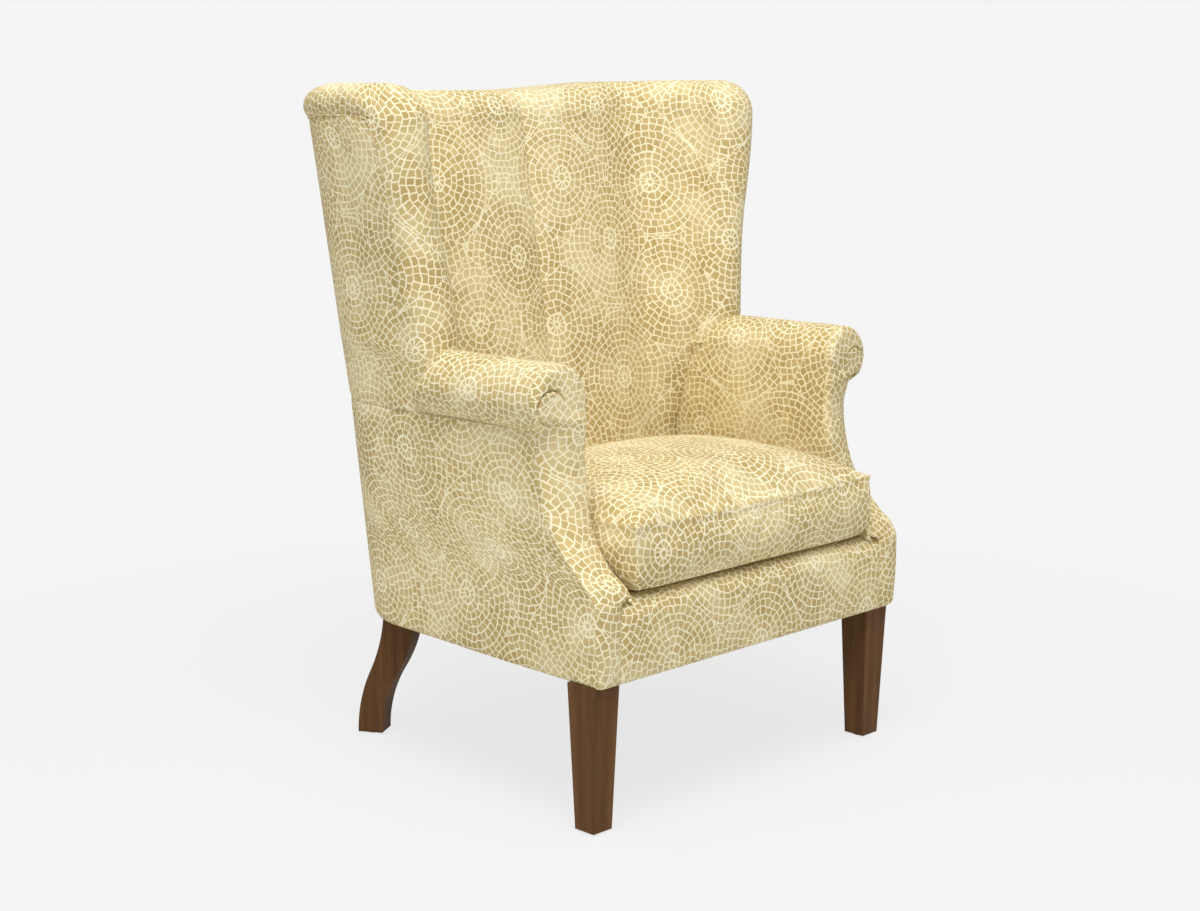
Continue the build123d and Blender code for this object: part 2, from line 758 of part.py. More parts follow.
def lobes(z, meet, drawn):
    # Two swelling lobes from wing to wing with the crease between them, inside an open line builder
    crease = (0, crease_y(min(z, frame_top)) + drawn)
    swell = crease[1] - lobe_depth
    right = (-meet[0], meet[1])
    return (ThreePointArc(meet, (meet[0] / 2, swell), crease, mode=Mode.PRIVATE),
            ThreePointArc(crease, (right[0] / 2, swell), right, mode=Mode.PRIVATE))


def back_level(z, tucked):
    # One level of the inside back pad, with the side tucks that reach the arms below arm height
    meet = junction(z)
    share = max(0, z - seat_height) / (arm_height - seat_height)
    reach = side_tuck_low + (side_tuck_top - side_tuck_low) * share
    tuck = (-seat_half + soft_gap, meet[1] - reach)
    rear = crease_y(z) + back_slab
    side = [meet, tuck, (tuck[0], rear)] if tucked else [meet, (meet[0], rear)]
    other = [(-x, y) for x, y in reversed(side)]
    with BuildSketch(Plane.XY.offset(z)) as level:
        with BuildLine():
            add(lobes(z, meet, 0))
            Polyline(*side, *other)
        make_face()
    return level.sketch


def back_roll_level(share, drawn):
    # One level of the top roll over the back
    z = frame_top + share * top_roll
    corner = corner_centre(frame_top)
    inner, outer = mitre(drawn, mitre_gap)
    rear = on_circle(corner, corner_radius - drawn, 90)
    turn = on_circle(corner, corner_radius - drawn, 112.5)
    with BuildSketch(Plane.XY.offset(z)) as level:
        with BuildLine():
            add(lobes(z, inner, drawn))
            Line(inner, outer)
            ThreePointArc(outer, turn, rear)
            Line(rear, (-rear[0], rear[1]))
            ThreePointArc((-rear[0], rear[1]), (-turn[0], turn[1]), (-outer[0], outer[1]))
            Line((-outer[0], outer[1]), (-inner[0], inner[1]))
        make_face()
    return level.sketch


# Inside back: one pad with two lobes, a crease down the middle and the top roll
with BuildPart() as inside_back:
    loft([back_level(z, True) for z in (deck_z + soft_gap, seat_height, arm_height)], ruled=True)
    loft([back_level(z, False) for z in (arm_height, frame_top)], ruled=True)
    loft([back_roll_level(share, drawn) for share, drawn in roll_levels], ruled=True)
save(inside_back, "inside_back")

# Dust cover under the seat frame, cut round the legs
front_hole = front_leg_top + 2 * leg_hole_gap
rear_hole = (rear_leg_thickness + 2 * leg_hole_gap, rear_leg_top + 4 * leg_hole_gap)
with BuildPart() as dust_cover:
    with BuildSketch(Plane.XY.offset(leg_height - dust_cover_thickness)):
        with BuildLine():
            inner_round = corner_radius - dust_cover_inset
            front_at = (-(body_front_half - dust_cover_inset), -front_reach + dust_cover_inset)
            CenterArc(corner_at, inner_round, 90, 90)
            Polyline(on_circle(corner_at, inner_round, 180), front_at, (0, front_at[1]))
            Line(on_circle(corner_at, inner_round, 90), (0, corner_at[1] + inner_round))
            mirror(about=Plane.YZ)
        make_face()
        with Locations(front_leg_at, (-front_leg_at[0], front_leg_at[1])):
            Rectangle(front_hole, front_hole, mode=Mode.SUBTRACT)
        for side in (-1, 1):
            with Locations(Location((-side * rear_top_at[0], rear_top_at[1], 0), -side * rear_leg_turn)):
                Rectangle(*rear_hole, mode=Mode.SUBTRACT)
    extrude(amount=dust_cover_thickness)
save(dust_cover, "dust_cover")

# Loose seat cushion: crowned, with drawn-in sides, a cover round a foam core
cushion_half = seat_half - cushion_gap
cushion_front_y = -front_reach - cushion_overhang


def cushion_rear_y(z):
    # Rear of the cushion, leaning with the back and clear of its lobes
    return crease_y(z) - lobe_depth - cushion_rear_gap


def cushion_level(z, drawn):
    # One level of the cushion: corners stand out a little from the drawn-in sides
    x = cushion_half - drawn
    low = cushion_front_y + drawn
    high = cushion_rear_y(min(z, cushion_z + cushion_thickness)) - drawn
    r = min(cushion_corner, (high - low) / 4)
    middle = (low + high) / 2
    corner = r * (1 - math.sqrt(0.5))
    with BuildSketch(Plane.XY.offset(z)) as level:
        with BuildLine():
            ThreePointArc((-x + r, low), (0, low + cushion_draw), (x - r, low))
            ThreePointArc((x - r, low), (x - corner, low + corner), (x, low + r))
            ThreePointArc((x, low + r), (x - cushion_draw, middle), (x, high - r))
            ThreePointArc((x, high - r), (x - corner, high - corner), (x - r, high))
            Line((x - r, high), (-x + r, high))
            ThreePointArc((-x + r, high), (-x + corner, high - corner), (-x, high - r))
            ThreePointArc((-x, high - r), (-x + cushion_draw, middle), (-x, low + r))
            ThreePointArc((-x, low + r), (-x + corner, low + corner), (-x + r, low))
        make_face()
    return level.sketch


def cushion_form(wall):
    # Levels of the whole cushion, drawn in by a wall all round
    thickness = cushion_thickness - 2 * wall
    sides = [(cushion_z + wall + share * thickness, drawn + wall) for share, drawn in cushion_levels]
    top = cushion_z + wall + thickness
    crown = [(top + share * cushion_crown, drawn + wall) for share, drawn in crown_levels]
    return [cushion_level(z, drawn) for z, drawn in sides + crown]


with BuildPart() as cushion_cover:
    loft(cushion_form(0), ruled=True)
    loft(cushion_form(cushion_cover_wall), ruled=True, mode=Mode.SUBTRACT)
save(cushion_cover, "cushion_cover")

with BuildPart() as cushion_core:
    loft(cushion_form(cushion_cover_wall + soft_gap), ruled=True)
save(cushion_core, "cushion_core")

# Zip across the cushion's rear boxing: tape, and a slider with its pull
zip_z = cushion_z + cushion_thickness * (cushion_levels[2][0] + cushion_levels[3][0]) / 2
zip_plane = Plane(origin=(0, cushion_rear_y(zip_z), zip_z), x_dir=(-1, 0, 0), z_dir=(0, 1, -inside_lean))
with BuildPart() as zipper_tape:
    with BuildSketch(zip_plane.offset(close_gap)):
        Rectangle(zip_length, zip_width)
    extrude(amount=zip_tape)
save(zipper_tape, "zipper_tape")

slider_start = zip_length / 2 - slider_length
with BuildPart() as zipper_slider:
    with BuildSketch(zip_plane.offset(2 * close_gap + zip_tape)):
        with Locations((slider_start, 0)):
            Rectangle(slider_length, slider_width)
    extrude(amount=slider_height)
    fillet(zipper_slider.edges().filter_by(Axis.X), radius=slider_height / 4)
    with BuildSketch(zip_plane.offset(2 * close_gap + zip_tape + slider_height - pull_thickness)):
        with Locations((slider_start, -slider_width / 2 - pull_length / 2 + slider_height / 2)):
            RectangleRounded(slider_width / 2, pull_length, slider_width / 5)
    extrude(amount=pull_thickness)
save(zipper_slider, "zipper_slider")
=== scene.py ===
# %% [markdown]
# A wing chair with rolled arms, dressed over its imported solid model.
# The wooden legs and the hidden frame keep their solid shapes and only get finishes.
# Everything soft is drawn again here as cloth: each panel is a formula on a grid of points.
# Lengths are metres, X runs to the right of someone facing the chair, Y to its back, Z up.

import json
import math

import bmesh
import bpy
import numpy as np
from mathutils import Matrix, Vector


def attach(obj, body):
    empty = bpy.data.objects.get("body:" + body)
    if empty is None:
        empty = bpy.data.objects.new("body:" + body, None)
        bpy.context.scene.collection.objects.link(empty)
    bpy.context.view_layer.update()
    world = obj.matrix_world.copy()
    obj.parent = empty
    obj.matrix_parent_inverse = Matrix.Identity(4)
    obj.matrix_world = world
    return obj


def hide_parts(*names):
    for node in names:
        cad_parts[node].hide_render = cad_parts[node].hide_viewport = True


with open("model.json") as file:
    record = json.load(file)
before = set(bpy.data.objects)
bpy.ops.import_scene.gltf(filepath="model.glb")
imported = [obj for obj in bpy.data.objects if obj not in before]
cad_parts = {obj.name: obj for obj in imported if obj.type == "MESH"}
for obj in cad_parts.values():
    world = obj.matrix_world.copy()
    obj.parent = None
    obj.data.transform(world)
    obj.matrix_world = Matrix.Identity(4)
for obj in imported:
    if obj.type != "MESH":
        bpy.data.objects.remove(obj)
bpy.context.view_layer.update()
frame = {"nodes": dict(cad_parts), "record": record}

# %% [markdown]
# The camera stands where the photographer stood: about 45 degrees to the left of the front,
# a little above the arms, with a long lens so that upright lines stay nearly upright.
# It could be aimed by a constraint; a direction turned into a rotation is simpler and leaves nothing behind.

# %% Camera
camera_data = bpy.data.cameras.new("photo_camera")
camera_data.lens = 60.0
camera_data.sensor_width = 36.0
camera = bpy.data.objects.new("photo_camera", camera_data)
camera.location = (-2.2275, -2.2064, 1.0386)
aim = Vector((0.0, 0.004, 0.4655)) - camera.location
camera.rotation_euler = aim.to_track_quat("-Z", "Y").to_euler()
bpy.context.scene.collection.objects.link(camera)
bpy.context.scene.camera = camera
print("camera looks along", [round(value, 3) for value in aim.normalized()])

# %% [markdown]
# Every cover is a grid of points with its own cloth coordinates, measured in metres along the surface,
# so the print keeps its true size on flat panels and on rolls alike.
# A cover could be modelled by hand and unwrapped; worked out from a formula, its unwrapping comes for free.
# Grids that share an edge are joined where their points meet, and a thin wall turns a sheet into cloth.


# %% From grids of points to a piece of cloth
def ease(low, high, value):
    """Smooth step: 0 up to low, 1 from high on, and 3t^2 - 2t^3 between them."""
    t = np.clip((value - low) / (high - low), 0.0, 1.0)
    return t * t * (3.0 - 2.0 * t)


def bell(value, width):
    """A smooth bump: exp(-(value / width)^2)."""
    return np.exp(-(value / width) ** 2)


def grid(x, y, z):
    """Three arrays, stretched to one shape, as one grid of points."""
    return np.stack(np.broadcast_arrays(x, y, z), axis=-1).astype(float)


def pairs(u, v):
    """Two arrays, stretched to one shape, as one grid of cloth coordinates or plan points."""
    return np.stack(np.broadcast_arrays(u, v), axis=-1)


def stretches(*parts):
    """Even steps in several stretches, each from its start to its end with a count of values."""
    return np.concatenate([np.linspace(*part) for part in parts])


def upright(levels):
    """One value for each level as a column, so that it meets rows of values."""
    return levels[:, None]


def run_length(points, axis):
    """Distance along the grid lines of one direction, counted from their first point."""
    steps = np.linalg.norm(np.diff(points, axis=axis), axis=-1)
    pad = [(1, 0), (0, 0)] if axis == 0 else [(0, 0), (1, 0)]
    return np.pad(np.cumsum(steps, axis=axis), pad)


def cloth_coordinates(points, column, shift=(0.0, 0.0)):
    """Cloth coordinates: length along each row from one upright column, and height up that column."""
    along = run_length(points, 1)
    across = run_length(points, 0)[:, column]
    return pairs(along - upright(along[:, column]) + shift[0], upright(across + shift[1]))


def hemmed(points, cloth, hem):
    """The same grid with rows and columns added a hem away from its edges, for even shading there."""
    both = np.concatenate([points, cloth], axis=-1)
    for axis in (0, 1):
        rows = np.moveaxis(both, axis, 0)
        steps = [np.linalg.norm((rows[a] - rows[b])[:, :3], axis=-1).mean() for a, b in ((0, 1), (-1, -2))]
        first, last = [min(0.4, hem / max(step, 1e-6)) for step in steps]
        start = rows[:1] + first * (rows[1:2] - rows[:1])
        end = rows[-1:] + last * (rows[-2:-1] - rows[-1:])
        both = np.moveaxis(np.concatenate([rows[:1], start, rows[1:-1], end, rows[-1:]]), 0, axis)
    return both[..., :3], both[..., 3:]


def settled(points):
    """Hand stuffing: the wings' tops stand higher than the back between them and sink towards their ends."""
    x, y, z = np.moveaxis(points, -1, 0)
    level = -0.011 + 0.010 * ease(-0.24, -0.37, x) + 0.0165 * ease(0.00, 0.34, x)
    ends = (-0.008 * ease(0.17, 0.28, y) - 0.006 * ease(0.085, 0.025, y)) * ease(0.26, 0.33, np.abs(x))
    return np.stack([x, y, z + (level + ends) * ease(0.93, 1.03, z)], axis=-1)


def add_cover(name, sheets, body="chair", wall=0.0, outward=None, weld=2e-5, hem=0.0004):
    """One piece from grids of (points, cloth coordinates); outward is a direction most faces point to."""
    if hem > 0:
        sheets = [hemmed(settled(points), uv, hem) for points, uv in sheets]
    starts = np.cumsum([0] + [points.shape[0] * points.shape[1] for points, _ in sheets])
    vertices = np.concatenate([points.reshape(-1, 3) for points, _ in sheets])
    cloth = np.concatenate([uv.reshape(-1, 2) for _, uv in sheets])
    quads = []
    for start, (points, _) in zip(starts, sheets):
        index = start + np.arange(points.shape[0] * points.shape[1]).reshape(points.shape[:2])
        corners = (index[:-1, :-1], index[:-1, 1:], index[1:, 1:], index[1:, :-1])
        quads.append(np.stack(corners, axis=-1).reshape(-1, 4))
    mesh = bpy.data.meshes.new(name)
    mesh.from_pydata(vertices.tolist(), [], np.concatenate(quads).tolist())
    loop_vertices = np.empty(len(mesh.loops), dtype=np.int32)
    mesh.loops.foreach_get("vertex_index", loop_vertices)
    mesh.uv_layers.new(name="cloth").data.foreach_set("uv", cloth[loop_vertices].ravel())
    work = bmesh.new()
    work.from_mesh(mesh)
    bmesh.ops.remove_doubles(work, verts=work.verts, dist=weld)
    bmesh.ops.dissolve_degenerate(work, edges=work.edges, dist=1e-6)
    bmesh.ops.recalc_face_normals(work, faces=work.faces)
    if outward is not None:
        lean = sum((face.normal * face.calc_area() for face in work.faces), Vector())
        if lean.dot(Vector(outward)) < 0:
            bmesh.ops.reverse_faces(work, faces=work.faces)
    work.to_mesh(mesh)
    work.free()
    mesh.polygons.foreach_set("use_smooth", np.ones(len(mesh.polygons), dtype=bool))
    piece = bpy.data.objects.new(name, mesh)
    bpy.context.scene.collection.objects.link(piece)
    if wall > 0:
        thicken = piece.modifiers.new("wall", "SOLIDIFY")
        thicken.thickness = wall
        thicken.offset = -1.0
    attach(piece, body)
    print(name, len(mesh.vertices), "points")
    return piece


def drawn_in(points, amount):
    """The same grid, each point moved level by amount towards the upright line through the seat's middle."""
    way = pairs(-points[..., 0], 0.05 - points[..., 1])
    way = way / np.linalg.norm(way, axis=-1, keepdims=True)
    return np.concatenate([points[..., :2] + way * amount[..., None], points[..., 2:]], axis=-1)


def with_mirror(path):
    """A plan path that ends on the middle line, carried on by its mirror image."""
    return np.concatenate([path, path[..., -2::-1, :] * np.array([-1.0, 1.0])], axis=-2)


def mirrored(points):
    """The same grid on the other side of the chair."""
    return points * np.array([-1.0, 1.0, 1.0])


def print_moved(uv):
    """Cloth coordinates moved on, so that a right cover gets its own cut of the print."""
    return uv + np.array([0.31, 0.17])


def add_pair(name, sheets, nodes, wall, outward, right_cloth=print_moved):
    """A left cover and its mirror image, each standing for its own solid."""
    for side in ("left", "right"):
        hand = sheets if side == "left" else [(mirrored(p), right_cloth(uv)) for p, uv in sheets]
        facing = outward if side == "left" else (-outward[0], outward[1], outward[2])
        piece = add_cover(f"{name}_{side}", hand, wall=wall, outward=facing)
        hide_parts(*[f"{node}_{side}" for node in nodes])
        fabric_pieces.append(piece)


def tube(path, radius, sides=8):
    """A cord: rings of points round a path, with the path's ends drawn to points."""
    along = np.gradient(path, axis=0)
    along /= np.linalg.norm(along, axis=1, keepdims=True)
    across = np.cross(along, np.array([0.31, 0.17, 0.93]))
    across /= np.linalg.norm(across, axis=1, keepdims=True)
    up = np.cross(across, along)
    turn = np.linspace(0, 2 * math.pi, sides + 1)[:, None]
    size = np.full(len(path), radius)
    size[[0, -1]] = 1e-5
    spoke = across[:, None] * np.cos(turn) + up[:, None] * np.sin(turn)
    rings = path[:, None] + size[:, None, None] * spoke
    length = run_length(path[None], 1)[0]
    return rings, pairs(upright(length), radius * turn[:, 0])


fabric_pieces = []

# %% [markdown]
# The chair's plan is a horseshoe: straight sides that narrow a little to the back, wide round rear corners.
# These few curves are shared by all the panels, so that neighbours meet along the same seams.


# %% Shared outlines
def crease_y(z):
    """Middle crease of the inside back: a straight line that leans back as it rises."""
    return 0.096 + 0.157 * (z - 0.470)


def outside_y(z):
    """Outside back: a straight line that leans back a little."""
    return 0.289 + 0.051 * (z - 0.220)


def corner_half(z):
    """Half width where the round rear corner starts, straight from height to height."""
    return np.interp(z, [0.220, 0.567, wing_low, 1.0], [0.317, 0.343, 0.356, 0.394])


def wing_half(z):
    """Half width over the wings: flares out with a smooth step, and tapers to the arm seam below."""
    low = np.interp(z, [0.567, wing_low], [0.343, 0.361])
    return low + 0.040 * ease(wing_low, 1.0, z)


def wing_y(z):
    """How far back the centre of the wing's front roll lies."""
    return 0.043 + 0.0135 * ease(wing_low, 0.86, z)


def arm_half(z):
    """Half width at the arm's outer face: swells a little above the base, then stands upright."""
    return 0.3365 + 0.0058 * ease(0.220, 0.285, z) - 0.0015 * ease(0.30, 0.50, z)


def arm_front(z):
    """Front edge of the arm from the side: upright, a rounded knuckle, a hollow arc, and the scroll."""
    radius, neck_y, neck_z = 0.2287, -0.2255, 0.540
    below = np.clip(z - neck_z, -radius, 0.0)
    hollow = neck_y - radius + np.sqrt(radius ** 2 - below ** 2)
    forward = -0.0130 * ease(0.540, 0.592, z)
    knuckle = -0.332 + 0.0195 * ease(0.327, 0.374, z) ** 1.25
    share = ease(0.3505, 0.3705, z)
    return (1 - share) * knuckle + share * (hollow + forward)


def splay(z):
    """Slope of the arm's front: from knuckle to scroll its inner edge stands forward of its outer one."""
    return 0.26 * ease(0.40, 0.50, z) * (1 - 0.8 * ease(0.545, 0.600, z))


def edge_round_at(z):
    """Radius of the arm's outer front edge: tight beside the base, fuller above the knuckle."""
    return front_edge_round + 0.015 * ease(0.370, 0.450, z)


def outside_half(y, z):
    """Half width of the outside arm at depth y: from front edge to rear corner, with a slight swell."""
    start = arm_front(z) + edge_round_at(z)
    share = np.clip((y - start) / (outside_y(z) - corner_radius - start), 0, 1)
    return arm_half(z) + (corner_half(z) - arm_half(z)) * share + 0.003 * np.sin(share * math.pi) ** 2


def tuck_at(z):
    """Depth where the inside arm is tucked in: just before the crease, and further forward as it rises."""
    return crease_y(z) - 0.002 - 0.084 * np.clip((z - 0.470) / 0.196, 0, 1)


def hem_fold(z):
    """How far a cover's lower edge is drawn in: 6 mm at the edge, and nothing from 7 mm above it."""
    return 0.006 * (1 - ease(base_z, base_z + 0.007, z))


corner_radius = 0.160
front_edge_round, scroll_round = 0.005, 0.012
base_z, crease_z = 0.2195, 0.5695
roll_radius, roll_half, roll_z = 0.050, 0.321, 0.616
wing_roll, wing_low = 0.0425, 0.666
tuck_z = 0.336
arm_rows = stretches((base_z, 0.320, 22), (0.323, 0.380, 36), (0.385, crease_z, 40))
print("front edge of the arm at the knuckle and neck:", arm_front(np.array([0.345, 0.360, 0.540])).round(4))

# %% [markdown]
# The arm is covered in three panels: the outside, the front facing with its scroll, and the inside arm
# that rolls outwards over the top. All three come from one cross-section of the arm, so their edges meet.
# The facing runs across each level: round the outer edge, over the front, round the inner edge.

# %% Arm facings
lean_down = math.radians(62.5)
fillet = (roll_half + roll_radius * math.cos(lean_down) - arm_half(crease_z)) / (1 - math.cos(lean_down))
fillet_z = roll_z - roll_radius * math.sin(lean_down) - fillet * math.sin(lean_down)
bend_in = np.linspace(0.0, lean_down, 14)[1:-1]
turn = np.linspace(-lean_down, math.pi / 2, 170)
face_rows = arm_rows[arm_rows < fillet_z]
level_z = np.concatenate([face_rows, fillet_z + fillet * np.sin(bend_in),
                          roll_z + roll_radius * np.sin(turn)])
level_half = np.concatenate([arm_half(face_rows), arm_half(crease_z) + fillet * (1 - np.cos(bend_in)),
                             roll_half + roll_radius * np.cos(turn)])
level_angle = np.concatenate([np.zeros(face_rows.size), -bend_in, turn])
inner_half = 0.2955 - 0.0245 * ease(0.334, 0.346, level_z)
inner_angle = np.full(level_z.size, math.pi)
on_top = level_z > roll_z
inner_half[on_top] = 2 * roll_half - level_half[on_top]
inner_angle[on_top] = math.pi - level_angle[on_top]
on_scroll = ease(fillet_z, fillet_z + 0.020, level_z)
outer_round = edge_round_at(level_z) + (scroll_round - edge_round_at(level_z)) * on_scroll


def inner_round_at(z):
    """Radius of the arm's inner front edge: tight beside the border, fuller above it."""
    return 0.0015 + 0.0125 * ease(0.335, 0.375, z) + (scroll_round - 0.014) * ease(0.555, 0.600, z)


inner_round = inner_round_at(level_z)
front_y = arm_front(level_z)
tuck_under = hem_fold(level_z)


def rounded_edge(half, rounding, angle, bend):
    """Quarter rounds at one edge of the levels, radius times (cos - 1) and (1 - sin), and laid out flat."""
    off = np.cos(bend) - 1
    side = upright(half) + upright(rounding * np.cos(angle)) * off
    height = upright(level_z) + upright(rounding * np.sin(angle)) * off
    depth = upright(front_y + tuck_under) + upright(rounding) * (1 - np.sin(bend))
    roll = upright(rounding) * (math.pi / 2 - bend)
    flat = pairs(side[:, -1:] + roll * upright(np.cos(angle)), height[:, -1:] + roll * upright(np.sin(angle)))
    return side, depth, height, flat


def facing_levels():
    """Each level: quarter round at the outer edge, a swelling front, quarter round at the inner edge."""
    bend = stretches((0, 1.25, 14), (1.28, math.pi / 2, 7))
    cross = stretches((0, 0.14, 8), (0.16, 0.84, 80), (0.86, 1.0, 8))[1:-1]
    out_h, out_y, out_z, out_flat = rounded_edge(level_half - tuck_under, outer_round, level_angle, bend)
    in_h, in_y, in_z, in_flat = rounded_edge(inner_half, inner_round, inner_angle, bend)
    mid_h = out_h[:, -1:] + (in_h[:, -1:] - out_h[:, -1:]) * cross
    mid_z = out_z[:, -1:] + (in_z[:, -1:] - out_z[:, -1:]) * cross
    swell = upright(0.0035 * ease(0.22, 0.26, level_z) * (1 - ease(0.56, 0.60, level_z)))
    mid_y = out_y[:, -1:] - swell * (4 * cross * (1 - cross)) ** 0.8
    half = np.concatenate([out_h, mid_h, in_h[:, ::-1]], axis=1)
    depth = np.concatenate([out_y, mid_y, in_y[:, ::-1]], axis=1)
    depth = depth - upright(splay(level_z)) * (upright(level_half) - half)
    height = np.concatenate([out_z, mid_z, in_z[:, ::-1]], axis=1)
    half = np.concatenate([half, half[:, -1:] + 0.0015], axis=1)
    depth = np.concatenate([depth, depth[:, -1:] + 0.030], axis=1)
    height = np.concatenate([height, height[:, -1:]], axis=1)
    last = pairs(upright(inner_half) - 0.03, in_z[:, :1])
    flat = np.concatenate([out_flat, pairs(mid_h, mid_z), in_flat[:, ::-1], last], axis=1)
    return grid(-half, depth, height), flat, bend.size, cross.size


facing, facing_flat, edge_columns, cross_columns = facing_levels()
welt_half, welt_z, welt_ring = 0.339, 0.607, 0.0240
beside, above = -facing[..., 0] - welt_half, facing[..., 2] - welt_z
ring, ring_angle = np.hypot(beside, above), np.arctan2(above, beside)
ring_share = ease(-1.75, -1.45, ring_angle) * (1 - ease(2.55, 3.10, ring_angle)) * (facing[..., 1] < -0.215)
facing[..., 1] += 0.0055 * bell(ring - welt_ring, 0.0014) * ring_share
middle = edge_columns + cross_columns // 2
front_z, front_run = facing[:, middle, 2], run_length(facing, 0)[:, middle]
facing_v = np.interp(facing_flat[..., 1], front_z, front_run)
facing_v = facing_v + np.maximum(facing_flat[..., 1] - front_z[-1], 0)
facing_cloth = pairs(0.10 - facing_flat[..., 0], facing_v + 0.05)
add_pair("arm_facing_cover", [(facing, facing_cloth)], ["arm_facing"], 0.004, (0, -1, 0))

curl = np.linspace(-1.68, 2.95, 90)
welt_h, welt_up = welt_half + welt_ring * np.cos(curl), welt_z + welt_ring * np.sin(curl)
flat_points = facing[:, :-1].reshape(-1, 3)
nearest = [np.hypot(flat_points[:, 0] + h, flat_points[:, 2] - z).argmin() for h, z in zip(welt_h, welt_up)]
welt_path = np.stack([-welt_h, flat_points[nearest, 1] - 0.0006, welt_up], axis=1)
welt_path[[0, -1], 1] += 0.002
add_pair("scroll_welt_cord", [tube(welt_path, 0.0008)], ["scroll_welt"], 0.0, (0, -1, 0))

# %% Inside arms, rolled outwards over the top
under_rows, over_rows, down_rows = 12, 74, 34
bend_rows = np.linspace(0.0, lean_down, under_rows)[:-1]
sweep = np.concatenate([[0.0], -bend_rows, np.linspace(-lean_down, math.pi, over_rows),
                        np.full(down_rows, math.pi)])
down = np.linspace(0.0, roll_z - tuck_z, down_rows + 1)[1:]
drop = np.concatenate([np.zeros(under_rows + over_rows), down])
under = np.arange(sweep.size) < under_rows
pad_half = roll_half + roll_radius * np.cos(sweep)
pad_z = np.where(under, fillet_z - fillet * np.sin(sweep), roll_z + roll_radius * np.sin(sweep) - drop)
pad_z[0] -= 0.006
roll_angle = np.where(under, -lean_down - (lean_down + sweep), sweep)
edge_round = np.where(drop > 0, inner_round_at(pad_z), np.where(under, edge_round_at(pad_z), scroll_round))
edge_round[under] += (scroll_round - edge_round[under]) * ease(fillet_z, fillet_z + 0.020, pad_z[under])
outer_at = np.interp(pad_z, level_z, level_half)
pad_front = arm_front(pad_z) + edge_round - splay(pad_z) * np.where(under, 0.0, outer_at - pad_half)
tuck_y = tuck_at(pad_z)
over_y = np.interp(roll_angle, [-2.1, -1.05, -0.90, -0.39, 0.43, 1.57, 2.4, 3.14],
                   [0.110, 0.078, 0.066, 0.058, 0.032, 0.030, 0.070, 0.070])
pad_end = np.where(drop > 0, tuck_y + 0.020, over_y)
along = stretches((0, 0.72, 40), (0.74, 1.0, 30))
pad_y = pad_front[:, None] + (pad_end - pad_front)[:, None] * along
sink = 0.022 * ease(-0.045, 0.0, pad_y - pad_end[:, None]) ** 1.4 * (sweep < 1.9)[:, None]
hollow_in = 0.0045 * np.sin(np.clip((pad_z - 0.46) / 0.15, 0, 1) * math.pi)[:, None] * np.sin(along * math.pi)
side_h = outside_half(pad_y, fillet_z)
blend = (1 - np.cos(sweep))[:, None] / (1 - math.cos(lean_down))
first_row = (np.arange(sweep.size) == 0)[:, None]
under_h = side_h + (roll_half + roll_radius * math.cos(lean_down) - side_h) * blend - 0.0012 * first_row
roll_off = 0.005 * ease(-0.018, 0.006, pad_y - tuck_y[:, None]) * (drop > 0)[:, None]
pad_h = np.where(under[:, None], under_h, pad_half[:, None])
pad_h = pad_h - sink * np.cos(sweep)[:, None] - hollow_in + roll_off
inside_arm = grid(-pad_h, pad_y, pad_z[:, None] - sink * np.sin(sweep)[:, None])
inside_cloth = cloth_coordinates(inside_arm, 0, (0.0, 0.03))
add_pair("inside_arm_cover", [(inside_arm, inside_cloth)], ["arm_pad"], 0.006, (1, 0, 1))

# %% Outside arms, from the facing round the rear corner to the back seam
side_share = np.linspace(0, 1, 56)
corner_turn = np.linspace(math.pi, math.pi / 2, 30)[1:]


def outside_levels(rows, front_half, front_at):
    """Each level: a straight side that swells a little, then a quarter circle round the rear corner."""
    z = rows[:, None]
    tangent_y = outside_y(z) - corner_radius
    swell = 0.003 * np.sin(side_share * math.pi) ** 2
    side_h = front_half[:, None] + (corner_half(z) - front_half[:, None]) * side_share + swell
    side_y = front_at[:, None] + (tangent_y - front_at[:, None]) * side_share
    round_h = corner_half(z) - corner_radius - corner_radius * np.cos(corner_turn)
    round_y = tangent_y + corner_radius * np.sin(corner_turn)
    half = np.concatenate([side_h, round_h], axis=1)
    depth = np.concatenate([side_y, round_y], axis=1)
    return grid(-half, depth, z)


outside_arm = outside_levels(arm_rows, arm_half(arm_rows), arm_front(arm_rows) + edge_round_at(arm_rows))
outside_cloth = cloth_coordinates(outside_arm, 0, (0.11, 0.02))
seam_draw = upright(hem_fold(arm_rows) + 0.0012 * bell(arm_rows - crease_z, 0.005))
outside_arm = drawn_in(outside_arm, seam_draw)
add_pair("outside_arm_cover", [(outside_arm, outside_cloth)], ["outside_arm"], 0.005, (-1, 0.3, 0))

# %% [markdown]
# The wings have a fat roll down the front and a soft roll over the top; inside they run back to the seam
# where they meet the inside back. The top is one band from wing to wing: at each step along it a quarter
# round rises from the inside, a flat stretch crosses over and another quarter round falls to the outside.

# %% Wings: front roll, inside wall and top
band_z, band_height = 1.0, 0.050
roll_start = 39
wing_rows = np.concatenate([np.linspace(tuck_z, 0.62, roll_start + 1)[:-1], np.linspace(0.62, band_z, 60)])
roll_rows = wing_rows[roll_start:]
wing_z, front_roll_z = upright(wing_rows), upright(roll_rows)


def seam_y(z):
    """Depth of the seam between the front roll and the outside wing, straight from height to height."""
    return np.interp(z, [0.60, 0.662, 0.753, 0.855, 0.94, 0.975, 1.0],
                     [0.070, 0.066, 0.057, 0.047, 0.054, 0.064, 0.082])


def meeting_half(z):
    """Half distance between the seams where the wings meet the inside back."""
    return np.interp(z, [wing_low, band_z], [0.225, 0.250])


